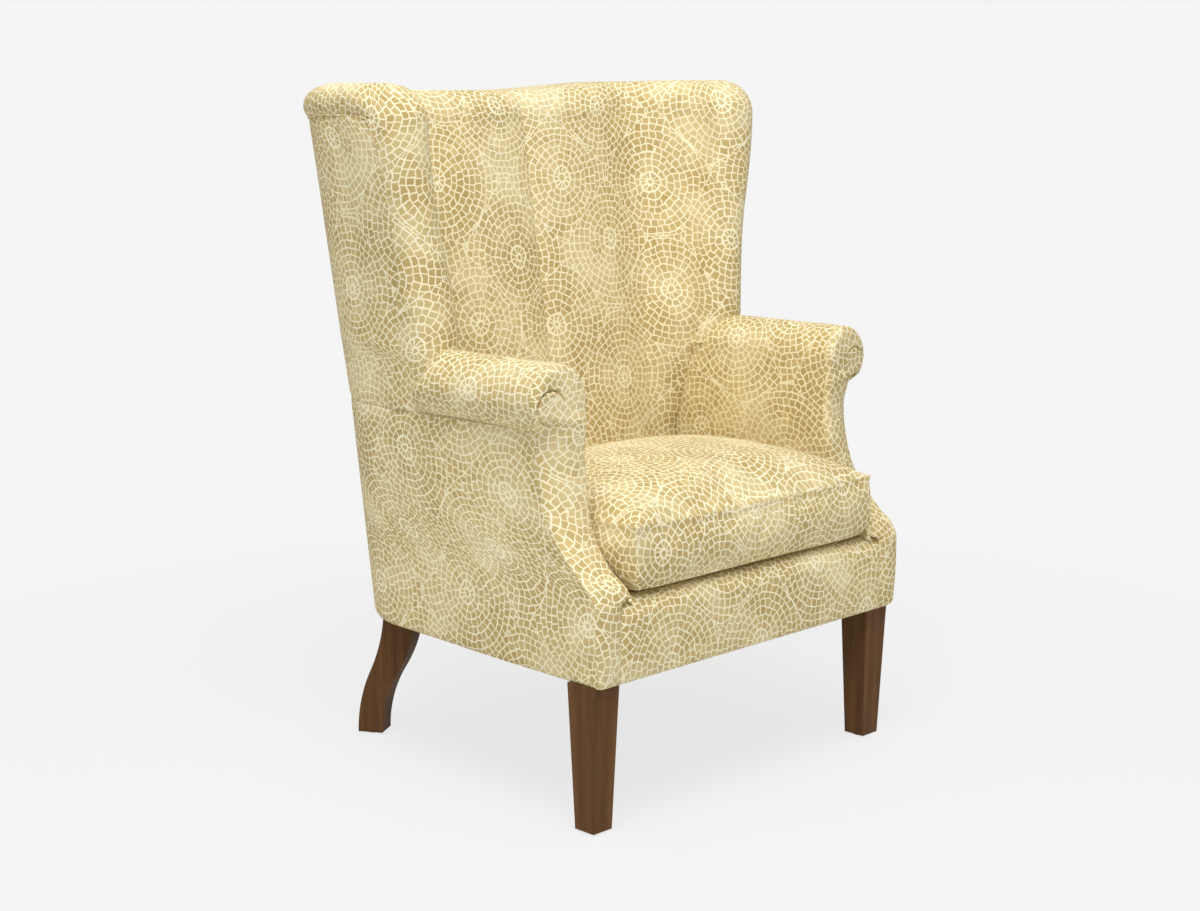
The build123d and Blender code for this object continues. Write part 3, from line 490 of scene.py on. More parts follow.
def wing_front(z, reach):
    """Plan of the front roll: straight behind its centre, then a half circle; reach is length along it."""
    angle = np.clip(reach / wing_roll, 0, math.pi)
    half = wing_half(z) - wing_roll + wing_roll * np.cos(angle)
    return half, wing_y(z) - wing_roll * np.sin(angle) - np.minimum(reach, 0.0)


def wing_wall(z, t):
    """Plan of the inside wall: a curve from the roll, or from the arm lower down, to the back seam."""
    low = ease(0.640, 0.720, z)
    on_arm_h = 0.276 - 0.0015 * ease(wing_low, 0.60, z)
    start_h = np.where(z > wing_low, wing_half(z) - 2 * wing_roll, on_arm_h)
    start_y = np.where(z > wing_low, wing_y(z), tuck_at(z))
    end_h, end_y = meeting_half(z), crease_y(z) + 0.004
    bend_h = low * start_h + (1 - low) * (start_h + end_h) / 2
    bend_y = low * (start_y + 0.046) + (1 - low) * ((start_y + end_y) / 2 - 0.004)
    half = (1 - t) ** 2 * start_h + 2 * t * (1 - t) * bend_h + t ** 2 * end_h
    return half, (1 - t) ** 2 * start_y + 2 * t * (1 - t) * bend_y + t ** 2 * end_y


wall_t = np.linspace(0, 1, 40)
seam_at = wall_t.size - 1
wall_h, wall_y = wing_wall(wing_z, wall_t)
half_lobe = np.linspace(1, 0, 81)


def lobe_y(z, t):
    """Half of the inside back: a hump of (4t(1-t))^0.75 from the wing's seam, t = 1, to the crease, t = 0."""
    return crease_y(z) + 0.004 * t - 0.0170 * (4 * t * (1 - t)) ** 0.75


def softened(path, middle, reach, blur):
    """Rounds a path's corner: points near it move to the blurred path, by exp(-(distance / reach)^4)."""
    steps = np.arange(path.shape[1])
    spacing = np.linalg.norm(np.diff(path[-1], axis=0), axis=1).mean()
    weight = bell((steps[:, None] - steps[None, :]) * spacing, blur)
    weight /= weight.sum(axis=1, keepdims=True)
    near = np.exp(-(((steps - middle) * spacing / reach) ** 4))[None, :, None]
    return path + near * (np.einsum("ab,rbk->rak", weight, path) - path)


lobe_half = meeting_half(wing_z) * half_lobe
lobe_depth = lobe_y(wing_z, half_lobe)
inner_path = np.concatenate([pairs(-wall_h, wall_y), pairs(-lobe_half, lobe_depth)[:, 1:]], axis=1)
for _ in range(2):
    inner_path = softened(inner_path, seam_at, 0.085, 0.030)
seam_pull = np.array([0.0005, 0.0014, 0.0005]) * upright(1 - ease(0.74, 0.84, wing_rows))
inner_path[:, seam_at - 1:seam_at + 2, 1] += seam_pull
inside_wing = grid(inner_path[:, :seam_at + 1, 0], inner_path[:, :seam_at + 1, 1], wing_z)
lap = np.linspace(0, 1, 14)[:-1]
quarter = np.linspace(math.pi / 2, math.pi, 15)
seam_reach = wing_y(roll_rows) - seam_y(roll_rows)
to_nose = seam_reach[:, None] + (wing_roll * math.pi / 2 - seam_reach)[:, None] * lap
from_nose = np.broadcast_to(wing_roll * quarter, (roll_rows.size, quarter.size))
reach = np.concatenate([to_nose, from_nose], axis=1)
front_h, front_y_roll = wing_front(front_roll_z, reach)
front_roll = grid(-front_h, front_y_roll, front_roll_z)


def spread(path, count):
    """The same plan path with its points spread evenly by length."""
    length = run_length(path[None], 1)[0]
    even = np.linspace(0, length[-1], count)
    return np.stack([np.interp(even, length, path[:, k]) for k in range(path.shape[1])], axis=1)


def rear_corner(angles):
    """Points on the rear corner's plan arc at the height of the top band."""
    centre_h = corner_half(band_z) - corner_radius
    centre_y = outside_y(band_z) - corner_radius
    half = centre_h - corner_radius * np.cos(angles)
    return pairs(-half, centre_y + corner_radius * np.sin(angles))


def top_band(inside, outside, inner_u, outer_u, lip, nose):
    """Cross-sections from inside to outside: quarter round, flat, and a roll that stands out where lip is 1.

    The band is cut along its ridge; nose bends the cloth round the front end, where both edges meet."""
    way = outside - inside
    width = np.linalg.norm(way, axis=1)
    way = way / np.maximum(width, 1e-9)[:, None]
    size = upright(np.minimum(1.0, width / (2 * wing_roll)))
    rise = np.linspace(0, math.pi / 2, 14)
    first = size * wing_roll * (1 - np.cos(rise))
    fall = np.linspace(math.pi / 2, 0, 18)
    plain = width[:, None] - size * wing_roll * (1 - np.cos(fall))
    curl = np.linspace(math.pi / 2, -0.806, 18)
    lip_round = 0.026
    rolled = width[:, None] - 0.018 + lip_round * np.cos(curl)
    last = plain + lip[:, None] * (rolled - plain)
    last_height = size * band_height * np.sin(fall)
    last_height = last_height + lip[:, None] * (0.024 + lip_round * np.sin(curl) - last_height)
    middle = first[:, -1:] + (last[:, :1] - first[:, -1:]) * np.linspace(0, 1, 10)[1:-1]
    offset = np.concatenate([first, middle, last], axis=1)
    flat = size * (band_height + 0 * middle)
    height = np.concatenate([size * band_height * np.sin(rise), flat, last_height], axis=1)
    plan = inside[:, None, :] + way[:, None, :] * offset[..., None]
    points = grid(plan[..., 0], plan[..., 1], band_z + height)
    across = offset / np.maximum(width, 1e-9)[:, None]
    run = run_length(points, 1)
    ridge = 18
    inner_cloth = pairs(inner_u[:, None] - 2 * nose[:, None] * across, band_z + run)
    outer_cloth = pairs(outer_u[:, None] + 2 * nose[:, None] * (1 - across), band_z + run[:, -1:] - run)
    return [(points[:, :ridge + 1], inner_cloth[:, :ridge + 1]), (points[:, ridge:], outer_cloth[:, ridge:])]


inner_top = np.concatenate([front_roll[-1, lap.size:, :2], inside_wing[-1, 1:, :2]])
angle_out = np.linspace(math.pi / 2, 0, 15)
out_h, out_y = wing_front(np.array(band_z), wing_roll * angle_out)
straight_y = np.linspace(wing_y(band_z), outside_y(band_z) - corner_radius, 20)
straight_h = -wing_half(band_z) + np.linspace(0, wing_half(band_z) - corner_half(band_z), 20)
side_corner = rear_corner(np.linspace(math.pi, 0.75 * math.pi, 16)[1:])
along_side = np.concatenate([pairs(straight_h, straight_y), side_corner])
outer_top = np.concatenate([pairs(-out_h, out_y), spread(along_side, wall_t.size)[1:]])
half_path = inner_path[:, seam_at:]
back_run = run_length(grid(half_path[..., 0], half_path[..., 1], wing_z), 1)
wing_run = run_length(inside_wing, 1)
wing_u = wing_run - wing_run[:, -1:] - back_run[:, -1:]
wing_cloth = pairs(wing_u, wing_z)
roll_run = run_length(front_roll, 1)
roll_u = roll_run - roll_run[:, -1:] + wing_u[roll_start:, :1]
roll_cloth = pairs(roll_u, front_roll_z)
inner_u = np.concatenate([roll_u[-1, lap.size:], wing_u[-1, 1:]])
outer_run = run_length(outer_top[None], 1)[0]
outer_u = inner_u[0] - outer_run
nose_fade = 1 - ease(0, 24, np.arange(1, wall_t.size))
nose = np.concatenate([wing_roll * (math.pi / 2 - angle_out), wing_roll * math.pi / 2 * nose_fade])
wing_lip = ease(0.0, 0.035, outer_top[:, 1] - wing_y(band_z) - 0.006)
wing_top = top_band(inner_top, outer_top, inner_u, outer_u, wing_lip, nose)
wing_sheets = [(inside_wing, wing_cloth), (front_roll, roll_cloth), *wing_top]


def print_turned(uv):
    """Cloth coordinates turned over, so that a right cover's print mirrors the left one's."""
    return uv * np.array([-1.0, 1.0])


add_pair("wing_cover", wing_sheets, ["wing_pad"], 0.006, (1, -1, 1), right_cloth=print_turned)

# %% [markdown]
# The inside back is one cover, drawn in along the middle so that two upright lobes stand out.
# It could be two cushions; one path from seam to seam, shared with the wings, leaves no gap between them.

# %% Inside back: two upright lobes with a crease between them
back_path = with_mirror(half_path)
inside_back = grid(back_path[..., 0], back_path[..., 1], wing_z)
back_middle = half_path.shape[1] - 1
back_inner = inside_back[-1, :, :2]
straight_x = np.linspace(-(corner_half(band_z) - corner_radius), 0, 30)[1:]
back_corner = rear_corner(np.linspace(0.75 * math.pi, 0.5 * math.pi, 16))
half_back = np.concatenate([back_corner, pairs(straight_x, outside_y(band_z))])
back_outer = with_mirror(spread(half_back, back_middle + 1))
back_u = run_length(inside_back, 1)
back_u = back_u - back_u[:, back_middle][:, None]
back_cloth = pairs(back_u, wing_z)
back_outer_u = run_length(back_outer[None], 1)[0]
back_outer_u = back_outer_u - back_outer_u[back_middle]
every = np.ones(2 * back_middle + 1)
back_top = top_band(back_inner, back_outer, back_u[-1], back_outer_u, every, 0 * every)
back_sheets = [(inside_back, back_cloth), *back_top]
back_piece = add_cover("inside_back_cover", back_sheets, wall=0.006, outward=(0, -1, 1))
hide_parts("inside_back")
fabric_pieces.append(back_piece)

# %% [markdown]
# Outside, flat panels close the wings and the back; a thin welt follows the edge where the top rolls over.
# Each panel is drawn in a little along its seams, which is what makes a sewn edge look sewn.

# %% Outside wings and outside back
panel_top, seam_width, seam_depth = 1.006, 0.006, 0.0022
outer_rows = np.linspace(crease_z + 0.0005, panel_top, 64)
fore_y = np.where(outer_rows > 0.668, seam_y(outer_rows), 0.030 + 0.036 * ease(0.64, 0.668, outer_rows))
outside_wing = outside_levels(outer_rows, wing_half(outer_rows), fore_y)
edge = bell(outer_rows - panel_top, seam_width) + 0.5 * bell(outer_rows - crease_z, 0.005)
front_edge = bell(run_length(outside_wing, 1), seam_width)
outside_wing = drawn_in(outside_wing, np.maximum(seam_depth * edge[:, None], seam_depth * front_edge))
outside_wing_cloth = cloth_coordinates(outside_wing, 0, (0.05, 0.37))
add_pair("outside_wing_cover", [(outside_wing, outside_wing_cloth)], ["outside_wing"], 0.005, (-1, 0.3, 0))

half_welt = np.concatenate([outer_top[18:], back_outer[1:back_middle + 1]])
welt_line = with_mirror(half_welt)
outward_way = welt_line - np.array([0.0, 0.10])
welt_line = welt_line + 0.0006 * outward_way / np.linalg.norm(outward_way, axis=1, keepdims=True)
from_end = np.exp(-np.arange(len(welt_line)) / 4.0)
welt_height = 1.0045 - 0.006 * from_end - 0.006 * from_end[::-1]
top_welt = add_cover("top_welt", [tube(np.column_stack([welt_line, welt_height]), 0.0017)])
fabric_pieces.append(top_welt)

panel_rows = stretches((base_z, base_z + 0.012, 5), (0.24, panel_top, 60))
panel_x = stretches((-1, -0.94, 6), (-0.9, 0.9, 40), (0.94, 1, 6))
panel_half = (corner_half(panel_rows) - corner_radius)[:, None]
panel_share = (panel_rows - base_z) / (1.0061 - base_z)
stuffed = 0.005 * (1 - panel_x ** 4) * np.sin(panel_share * math.pi)[:, None] ** 0.5
seam_in = seam_depth * bell((1 - np.abs(panel_x)) * panel_half, seam_width)
panel_y = outside_y(panel_rows)[:, None] + stuffed - upright(hem_fold(panel_rows)) - seam_in
outside_back = grid(panel_half * panel_x, panel_y, panel_rows[:, None])
outside_sheets = [(outside_back, cloth_coordinates(outside_back, 26, (0.09, 0.06)))]
outside_piece = add_cover("outside_back_cover", outside_sheets, wall=0.005, outward=(0, 1, 0))
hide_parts("outside_back")
fabric_pieces.append(outside_piece)

# %% [markdown]
# Below the cushion a padded border crosses the front and rolls back onto the deck.
# Its profile goes up the front, round the top edge and back under the cushion, and is carried across.

# %% Front border
border_front, border_round_z, border_half = -0.332, 0.312, 0.2990
rise_z = stretches((base_z, base_z + 0.010, 6), (0.234, border_round_z, 16))
round_turn = np.linspace(0, math.pi / 2, 12)[1:]
border_z = np.concatenate([rise_z, border_round_z + 0.0270 * np.sin(round_turn), np.full(8, 0.3390)])
border_y = np.concatenate([np.full(rise_z.size, border_front),
                           border_front + 0.026 * (1 - np.cos(round_turn)), np.linspace(-0.303, -0.266, 8)])
border_swell = 0.0042 * np.sin(np.clip((border_z - base_z) / 0.115, 0, 1) * math.pi) ** 0.7
border_x = stretches((-border_half, -0.270, 16), (-0.26, 0.26, 60), (0.270, border_half, 16))
end_share = ease(border_half, 0.2860, np.abs(border_x))
end_tuck = 0.0026 * ease(0.2935, border_half, np.abs(border_x))
border_depth = upright(border_y + hem_fold(border_z)) - border_swell[:, None] * end_share + end_tuck
border = grid(border_x, border_depth, border_z[:, None])
border_sheets = [(border, cloth_coordinates(border, 46, (0.13, 0.10)))]
border_piece = add_cover("front_border_cover", border_sheets, wall=0.005, outward=(0, -1, 0.3))
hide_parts("front_border")
fabric_pieces.append(border_piece)

# %% [markdown]
# Under the loose cushion lies the deck: a plain padded lining over the springs.
# It is a flat pillow: two copies of one grid, apart in the middle and joined round the edge,
# with the height following a quarter circle of the distance to the edge.

# %% Deck under the cushion
deck_a = np.sin(np.linspace(-1, 1, 60) * math.pi / 2)
deck_b = np.sin(np.linspace(-1, 1, 44) * math.pi / 2)[:, None]
deck_half, deck_deep, deck_mid, deck_z = 0.2700, 0.1725, -0.0960, 0.3290
deck_x, deck_y = deck_half * deck_a, deck_mid + deck_deep * deck_b
edge_way = np.minimum(deck_half - np.abs(deck_x), deck_deep - np.abs(deck_y - deck_mid))
pillow = np.sqrt(1 - (1 - np.clip(edge_way / 0.014, 0, 1)) ** 2)
deck_top = grid(deck_x, deck_y, deck_z + 0.0135 * pillow)
deck_low = grid(deck_x, deck_y, deck_z - 0.0125 * pillow)
deck_cloth = pairs(deck_x, deck_y)
deck_piece = add_cover("deck_lining", [(deck_top, deck_cloth), (deck_low, deck_cloth)], hem=0)
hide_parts("deck_pad")

# %% [markdown]
# The loose cushion is sewn from three panels: a top, a bottom and a boxing strip round the side. It could be
# sculpted, but cloth shows best what stuffing does to it, so the sewn shape is blown up: cloth with pressure
# inside and no gravity, held at the bottom where it rests on the deck. The result is written back into the
# mesh, with the movement of each point capped, and the cloth is removed.

# %% Loose cushion: three sewn panels
cushion_a, cushion_b = np.linspace(-1, 1, 73), np.linspace(-1, 1, 53)[:, None]
cushion_seam_z, cushion_low_z = 0.4375, 0.3452


def cushion_plan(a, b, draw, cut):
    """A rectangle with sides drawn in between its corners; cut rounds the corners by a twelfth power."""
    front, back = -0.3340 + draw, 0.0545 - draw
    half, mid, deep = 0.2675 - draw, (front + back) / 2, (back - front) / 2
    x = half * a * (1 - cut / half * np.abs(b) ** 12) - 0.0035 * a * (1 - b ** 2) * np.abs(a) ** 3
    y = mid + deep * b * (1 - cut / deep * np.abs(a) ** 12) - 0.0035 * b * (1 - a ** 2) * np.abs(b) ** 3
    return np.broadcast_arrays(x, y)


in_corner = (np.abs(cushion_a) * np.abs(cushion_b)) ** 10
top_x, top_y = cushion_plan(cushion_a, cushion_b, 0.0, 0.0)
crown = ((1 - np.abs(cushion_a) ** 3.4) * (1 - np.abs(cushion_b) ** 3.4)) ** 0.62
full = 0.0490
cushion_top = grid(top_x, top_y, cushion_seam_z + full * crown + 0.003 * in_corner)
low_x, low_y = cushion_plan(cushion_a, cushion_b, 0.009, 0.003)
cushion_under = grid(low_x, low_y, cushion_low_z + 0.002 * in_corner)


def rim(values):
    """The edge of a grid as one closed row, starting and ending at its first corner."""
    return np.concatenate([values[0, :-1], values[:-1, -1], values[-1, :0:-1], values[::-1, 0]])


boxing_share = np.linspace(1, 0, 19)
boxing_draw = np.interp(boxing_share, [0.0, 0.08, 0.20, 0.40, 0.70, 0.92, 1.0],
                        [0.009, 0.0040, 0.0008, 0.0, 0.0, 0.0010, 0.0])
boxing_cut = np.interp(boxing_share, [0.0, 0.25, 1.0], [0.003, 0.0, 0.0])
boxing = []
for share, draw, corner_cut in zip(boxing_share, boxing_draw, boxing_cut):
    x, y = cushion_plan(cushion_a, cushion_b, draw, corner_cut)
    lifted = in_corner * (0.003 * share + 0.002 * (1 - share))
    level = cushion_low_z + share * (cushion_seam_z - cushion_low_z)
    boxing.append(np.stack([rim(x), rim(y), rim(lifted) + level], axis=-1))
boxing = np.stack(boxing)
boxing_cloth = cloth_coordinates(boxing, 36, (0.27, 0.21))
top_cloth = np.stack([top_x + 0.035, top_y + 0.02], axis=-1)
cushion_sheets = [(cushion_top, top_cloth), (boxing, boxing_cloth), (cushion_under, top_cloth + 0.5)]
cushion = add_cover("seat_cushion", cushion_sheets, body="cushion", hem=0)
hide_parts("cushion_cover", "cushion_core")
fabric_pieces.append(cushion)


# %% Blow the cushion up
def mesh_points(mesh):
    """All vertex positions of a mesh as one array."""
    flat = np.empty(len(mesh.vertices) * 3)
    mesh.vertices.foreach_get("co", flat)
    return flat.reshape(-1, 3)


def blow_up(piece, held, pressure, frames, cap):
    """Cloth with pressure and no gravity; held vertices stay, the rest move by no more than cap."""
    before = mesh_points(piece.data)
    group = piece.vertex_groups.new(name="held")
    group.add(np.flatnonzero(held).tolist(), 1.0, "REPLACE")
    cloth = piece.modifiers.new("stuffing", "CLOTH")
    cloth.settings.vertex_group_mass = "held"
    cloth.settings.quality = 6
    cloth.settings.tension_stiffness = 40.0
    cloth.settings.compression_stiffness = 40.0
    cloth.settings.shear_stiffness = 12.0
    cloth.settings.bending_stiffness = 2.0
    cloth.settings.use_pressure = True
    cloth.settings.uniform_pressure_force = pressure
    cloth.settings.effector_weights.gravity = 0.0
    cloth.collision_settings.use_collision = False
    cloth.point_cache.frame_start = 1
    cloth.point_cache.frame_end = frames
    for number in range(1, frames + 1):
        bpy.context.scene.frame_set(number)
    solved = piece.evaluated_get(bpy.context.evaluated_depsgraph_get())
    moved = mesh_points(solved.to_mesh()) - before
    solved.to_mesh_clear()
    piece.modifiers.remove(cloth)
    piece.vertex_groups.remove(group)
    bpy.context.scene.frame_set(1)
    size = np.linalg.norm(moved, axis=1, keepdims=True)
    return before + moved * np.minimum(1.0, cap / np.maximum(size, 1e-9))


sewn = mesh_points(cushion.data)
seam_points = {tuple(point) for point in np.round(boxing[0], 5)}
seam_vertices = np.array([tuple(point) in seam_points for point in np.round(sewn, 5)])
resting = sewn[:, 2] < cushion_low_z + 0.004
after = blow_up(cushion, resting, pressure=1.5, frames=20, cap=0.024)
moved_most = np.linalg.norm(after - sewn, axis=1).max()
print("cushion moved by at most", moved_most.round(4), "top", after[:, 2].max().round(4))
between_arms = 0.2695
after[:, 0] = np.clip(after[:, 0], -between_arms, between_arms)
after[:, 1] = np.clip(after[:, 1], -0.3410, crease_y(after[:, 2]) - 0.0195)
lip_out = (after - after.mean(axis=0)) * np.array([1.0, 1.0, 0.0])
lip_out /= np.linalg.norm(lip_out, axis=1, keepdims=True)
after += seam_vertices[:, None] * (0.0026 * lip_out + np.array([0.0, 0.0, 0.0030]))
cushion.data.vertices.foreach_set("co", after.ravel())
cushion.data.update()
seam_edges = np.array([edge.index for edge in cushion.data.edges
                       if all(seam_vertices[v] for v in edge.vertices)])
crease = cushion.data.attributes.new("crease_edge", "FLOAT", "EDGE")
sharp = np.zeros(len(cushion.data.edges))
sharp[seam_edges] = 0.9
crease.data.foreach_set("value", sharp)
smooth_cushion = cushion.modifiers.new("smooth", "SUBSURF")
smooth_cushion.levels = smooth_cushion.render_levels = 1
print("edges in the cushion's top seam:", len(seam_edges))

# %% [markdown]
# The print looks like a mosaic laid in rings, an ornament as old as paved floors: small tan squares
# with cream joints circle round scattered centres until they meet the rings of the next centre.
# It could be an image, but worked out from the cloth coordinates it stays sharp at any distance.
# A cell pattern gives the nearest centre; distance and angle from it give the ring and the tile in the ring.


# %% Shader maths as plain expressions
class Wire:
    """The value on a socket: arithmetic on it adds Math nodes to its sketch."""

    def __init__(self, sketch, socket):
        self.sketch, self.socket = sketch, socket

    def maths(self, operation, *values):
        """A Math node on numbers and wires."""
        return self.sketch.node("ShaderNodeMath", {"operation": operation}, dict(enumerate(values)))["Value"]

    def __add__(self, other):
        return self.maths("ADD", self, other)

    def __sub__(self, other):
        return self.maths("SUBTRACT", self, other)

    def __rsub__(self, other):
        return self.maths("SUBTRACT", other, self)

    def __mul__(self, other):
        return self.maths("MULTIPLY", self, other)

    def __truediv__(self, other):
        return self.maths("DIVIDE", self, other)

    def __rtruediv__(self, other):
        return self.maths("DIVIDE", other, self)

    __radd__ = __add__
    __rmul__ = __mul__

    def only(self, operation):
        """An operation that needs no second value, such as FLOOR or SINE."""
        return self.maths(operation, self)

    def least(self, other):
        return self.maths("MINIMUM", self, other)

    def most(self, other):
        return self.maths("MAXIMUM", self, other)

    def step(self, low, high):
        """Smooth step of this value from low to high."""
        settings = {"interpolation_type": "SMOOTHSTEP"}
        sockets = {"Value": self, "From Min": low, "From Max": high}
        return self.sketch.node("ShaderNodeMapRange", settings, sockets)["Result"]


class Outputs:
    """The outputs of one node, by name."""

    def __init__(self, sketch, made):
        self.sketch, self.made = sketch, made

    def __getitem__(self, name):
        return Wire(self.sketch, self.made.outputs[name])


class Sketch:
    """A material's node tree with one shiny-to-matt surface at its end."""

    def __init__(self, name):
        self.material = bpy.data.materials.new(name)
        self.material.use_nodes = True
        self.tree = self.material.node_tree
        self.surface = self.tree.nodes["Principled BSDF"]

    def put(self, socket, value):
        """Link a wire to a socket, or set the socket's own value."""
        if isinstance(value, Wire):
            self.tree.links.new(value.socket, socket)
        else:
            socket.default_value = value

    def node(self, kind, settings, sockets):
        """Any node: its settings are set first, then its sockets."""
        made = self.tree.nodes.new(kind)
        for name, value in settings.items():
            setattr(made, name, value)
        for name, value in sockets.items():
            self.put(made.inputs[name], value)
        return Outputs(self, made)

    def finish(self, sockets):
        """Set or link the surface's own sockets."""
        for name, value in sockets.items():
            self.put(self.surface.inputs[name], value)
        return self.material

    def coordinates(self, kind):
        """The point's own coordinates: UV for cloth, Object for solids."""
        return self.node("ShaderNodeTexCoord", {}, {})[kind]

    def parts(self, vector):
        """The X, Y and Z of a vector."""
        return self.node("ShaderNodeSeparateXYZ", {}, {"Vector": vector})

    def vector(self, operation, sockets):
        """A Vector Math node's vector."""
        return self.node("ShaderNodeVectorMath", {"operation": operation}, sockets)["Vector"]

    def voronoi(self, feature, sockets):
        """Cell pattern on a flat sheet."""
        settings = {"voronoi_dimensions": "2D", "feature": feature}
        return self.node("ShaderNodeTexVoronoi", settings, sockets)

    def draw(self, dimensions, vector):
        """One random value for each vector."""
        settings = {"noise_dimensions": dimensions}
        return self.node("ShaderNodeTexWhiteNoise", settings, {"Vector": vector})["Value"]

    def colour_mix(self, share, first, second):
        """Blend of two colours by share."""
        made = self.node("ShaderNodeMix", {"data_type": "RGBA"}, {0: share})
        self.put(made.made.inputs[6], first)
        self.put(made.made.inputs[7], second)
        return Wire(self, made.made.outputs[2])

    def noise(self, vector, scale, detail=2.0, rough=0.5):
        """Soft noise, 0 to 1."""
        sockets = {"Vector": vector, "Scale": scale, "Detail": detail, "Roughness": rough}
        return self.node("ShaderNodeTexNoise", {}, sockets)

    def bump(self, height, strength, distance, below=None):
        """Normal of a surface raised by height, on top of the normal below if one is given."""
        sockets = {"Height": height, "Strength": strength, "Distance": distance}
        if below is not None:
            sockets["Normal"] = below
        return self.node("ShaderNodeBump", {}, sockets)["Normal"]


def paint(red, green, blue):
    """A colour as seen on screen, 0 to 255, as a linear one."""
    seen = np.array([red, green, blue]) / 255.0
    linear = np.where(seen <= 0.04045, seen / 12.92, ((seen + 0.055) / 1.055) ** 2.4)
    return (*linear.tolist(), 1.0)


def shaded(colour, share):
    """The same linear colour, times share."""
    return (*[share * value for value in colour[:3]], 1.0)


# %% Mosaic print
def mosaic_fabric():
    """Rings of tiles round scattered centres, joints between them, tone washed in patches, fine weave."""
    s = Sketch("mosaic_fabric")
    cloth = s.coordinates("UV")
    ripple = s.noise(cloth, 62.0, 1.0)["Color"]
    wobble = s.vector("SUBTRACT", {0: ripple, 1: (0.5, 0.5, 0.5)})
    place = s.vector("ADD", {0: cloth, 1: s.vector("SCALE", {0: wobble, "Scale": 0.0100})})
    eighth_turn = {"Vector": place, "Angle": math.radians(45.0)}
    turned = s.node("ShaderNodeVectorRotate", {"rotation_type": "Z_AXIS"}, eighth_turn)["Vector"]
    pitch, ring_step = 0.158, 0.0114
    cell = {"Vector": turned, "Scale": 1 / pitch, "Randomness": 0.42}
    near = s.voronoi("F1", cell)
    border = s.voronoi("DISTANCE_TO_EDGE", cell)["Distance"] * pitch
    away = s.vector("SUBTRACT", {0: turned, 1: near["Position"]})
    parts = s.parts(away)
    x, y = parts["X"], parts["Y"]
    radius = (x * x + y * y).only("SQRT")
    angle = x.maths("ARCTAN2", y, x) / (2 * math.pi) + 0.5
    ringed = radius / ring_step + 0.5
    ring = ringed.only("FLOOR")
    in_ring = ringed - ring
    count = (ring * 5.9 + 0.5).only("FLOOR").most(11.0)
    own = s.node("ShaderNodeSeparateColor", {}, {"Color": near["Color"]})["Red"]
    slip = s.draw("2D", s.node("ShaderNodeCombineXYZ", {}, {"X": ring, "Y": own * 91.0})["Vector"])
    tiled = angle * count + slip
    tile = tiled.only("FLOOR")
    in_tile = tiled - tile
    to_ring = in_ring.least(1 - in_ring) * ring_step
    bold = 1 - (ringed - 1.5).only("ABSOLUTE").step(0.75, 0.95)
    to_side = in_tile.least(1 - in_tile) * radius * (2 * math.pi) / count + (1 - ring.least(1.0))
    gap = (to_ring - bold * 0.0007).least(to_side).least(border + 0.0002)
    joint = 1 - gap.step(0.00050, 0.00160)
    chip = s.node("ShaderNodeCombineXYZ", {}, {"X": ring + own * 57.0, "Y": tile, "Z": own})["Vector"]
    tint = s.draw("3D", chip)
    wash = s.noise(cloth, 7.5, 3.0, 0.6)["Fac"].step(0.42, 0.66)
    deep = s.noise(cloth, 4.6, 2.0, 0.5)["Fac"].step(0.35, 0.65)
    grain = s.noise(cloth, 240.0, 2.0, 0.6)["Fac"]
    tone = s.colour_mix(tint * 0.75 + grain * 0.25, paint(186, 162, 104), paint(216, 194, 138))
    tone = s.colour_mix(deep * 0.55, tone, paint(170, 146, 88))
    tone = s.colour_mix(wash * 0.62, tone, paint(232, 216, 170))
    colour = s.colour_mix(joint * (0.80 + grain * 0.2), tone, paint(250, 242, 208))
    thread = s.parts(cloth)
    threads = 5200.0
    weave = (thread["X"] * threads).only("SINE") * (thread["Y"] * threads).only("SINE")
    height = weave * 0.35 + grain
    matt = 0.86 - joint * 0.04 + grain * 0.06
    slack = s.noise(cloth, 13.0, 2.0)["Fac"]
    normal = s.bump(height, 0.22, 0.0006, s.bump(slack, 0.35, 0.010))
    return s.finish({"Base Color": colour, "Roughness": matt, "Normal": normal, "Specular IOR Level": 0.2})


fabric = mosaic_fabric()
for piece in fabric_pieces:
    piece.data.materials.append(fabric)
print("pieces in the print:", len(fabric_pieces))

# %% [markdown]
# The legs are stained walnut with upright grain: long thin streaks and pores, with a dull finish.
# The hidden frame is bare hardwood; springs and clips are plain steel; cloths under and inside are plain.
# Each finish is a formula on the object's own coordinates, so it stays put when the chair moves.


# %% Woods, metals and plain cloths
def wood(name, dark, light):
    """Grain as noise stretched along the board, pores as finer noise, colour between two tones."""
    s = Sketch(name)
    place = s.coordinates("Object")
    long = s.node("ShaderNodeMapping", {}, {"Vector": place, "Scale": (34.0, 34.0, 2.6)})["Vector"]
    fine = s.node("ShaderNodeMapping", {}, {"Vector": place, "Scale": (420.0, 420.0, 14.0)})["Vector"]
    streak = s.noise(long, 1.0, 5.0, 0.62)
    rings = {"Vector": long, "Scale": 0.55, "Distortion": 5.0, "Detail": 2.0}
    curl = s.node("ShaderNodeTexWave", {"wave_type": "RINGS", "rings_direction": "Z"}, rings)["Fac"]
    pore = s.noise(fine, 1.0, 2.0, 0.5)["Fac"].step(0.50, 0.72)
    share = streak["Fac"].step(0.30, 0.72) * 0.62 + curl * 0.30
    colour = s.colour_mix(share, dark, light)
    colour = s.colour_mix(pore * 0.28, colour, shaded(dark, 0.45))
    return s.finish({"Base Color": colour, "Roughness": 0.62 + pore * 0.12, "Specular IOR Level": 0.15,
                     "Normal": s.bump(1 - pore, 0.10, 0.0006)})


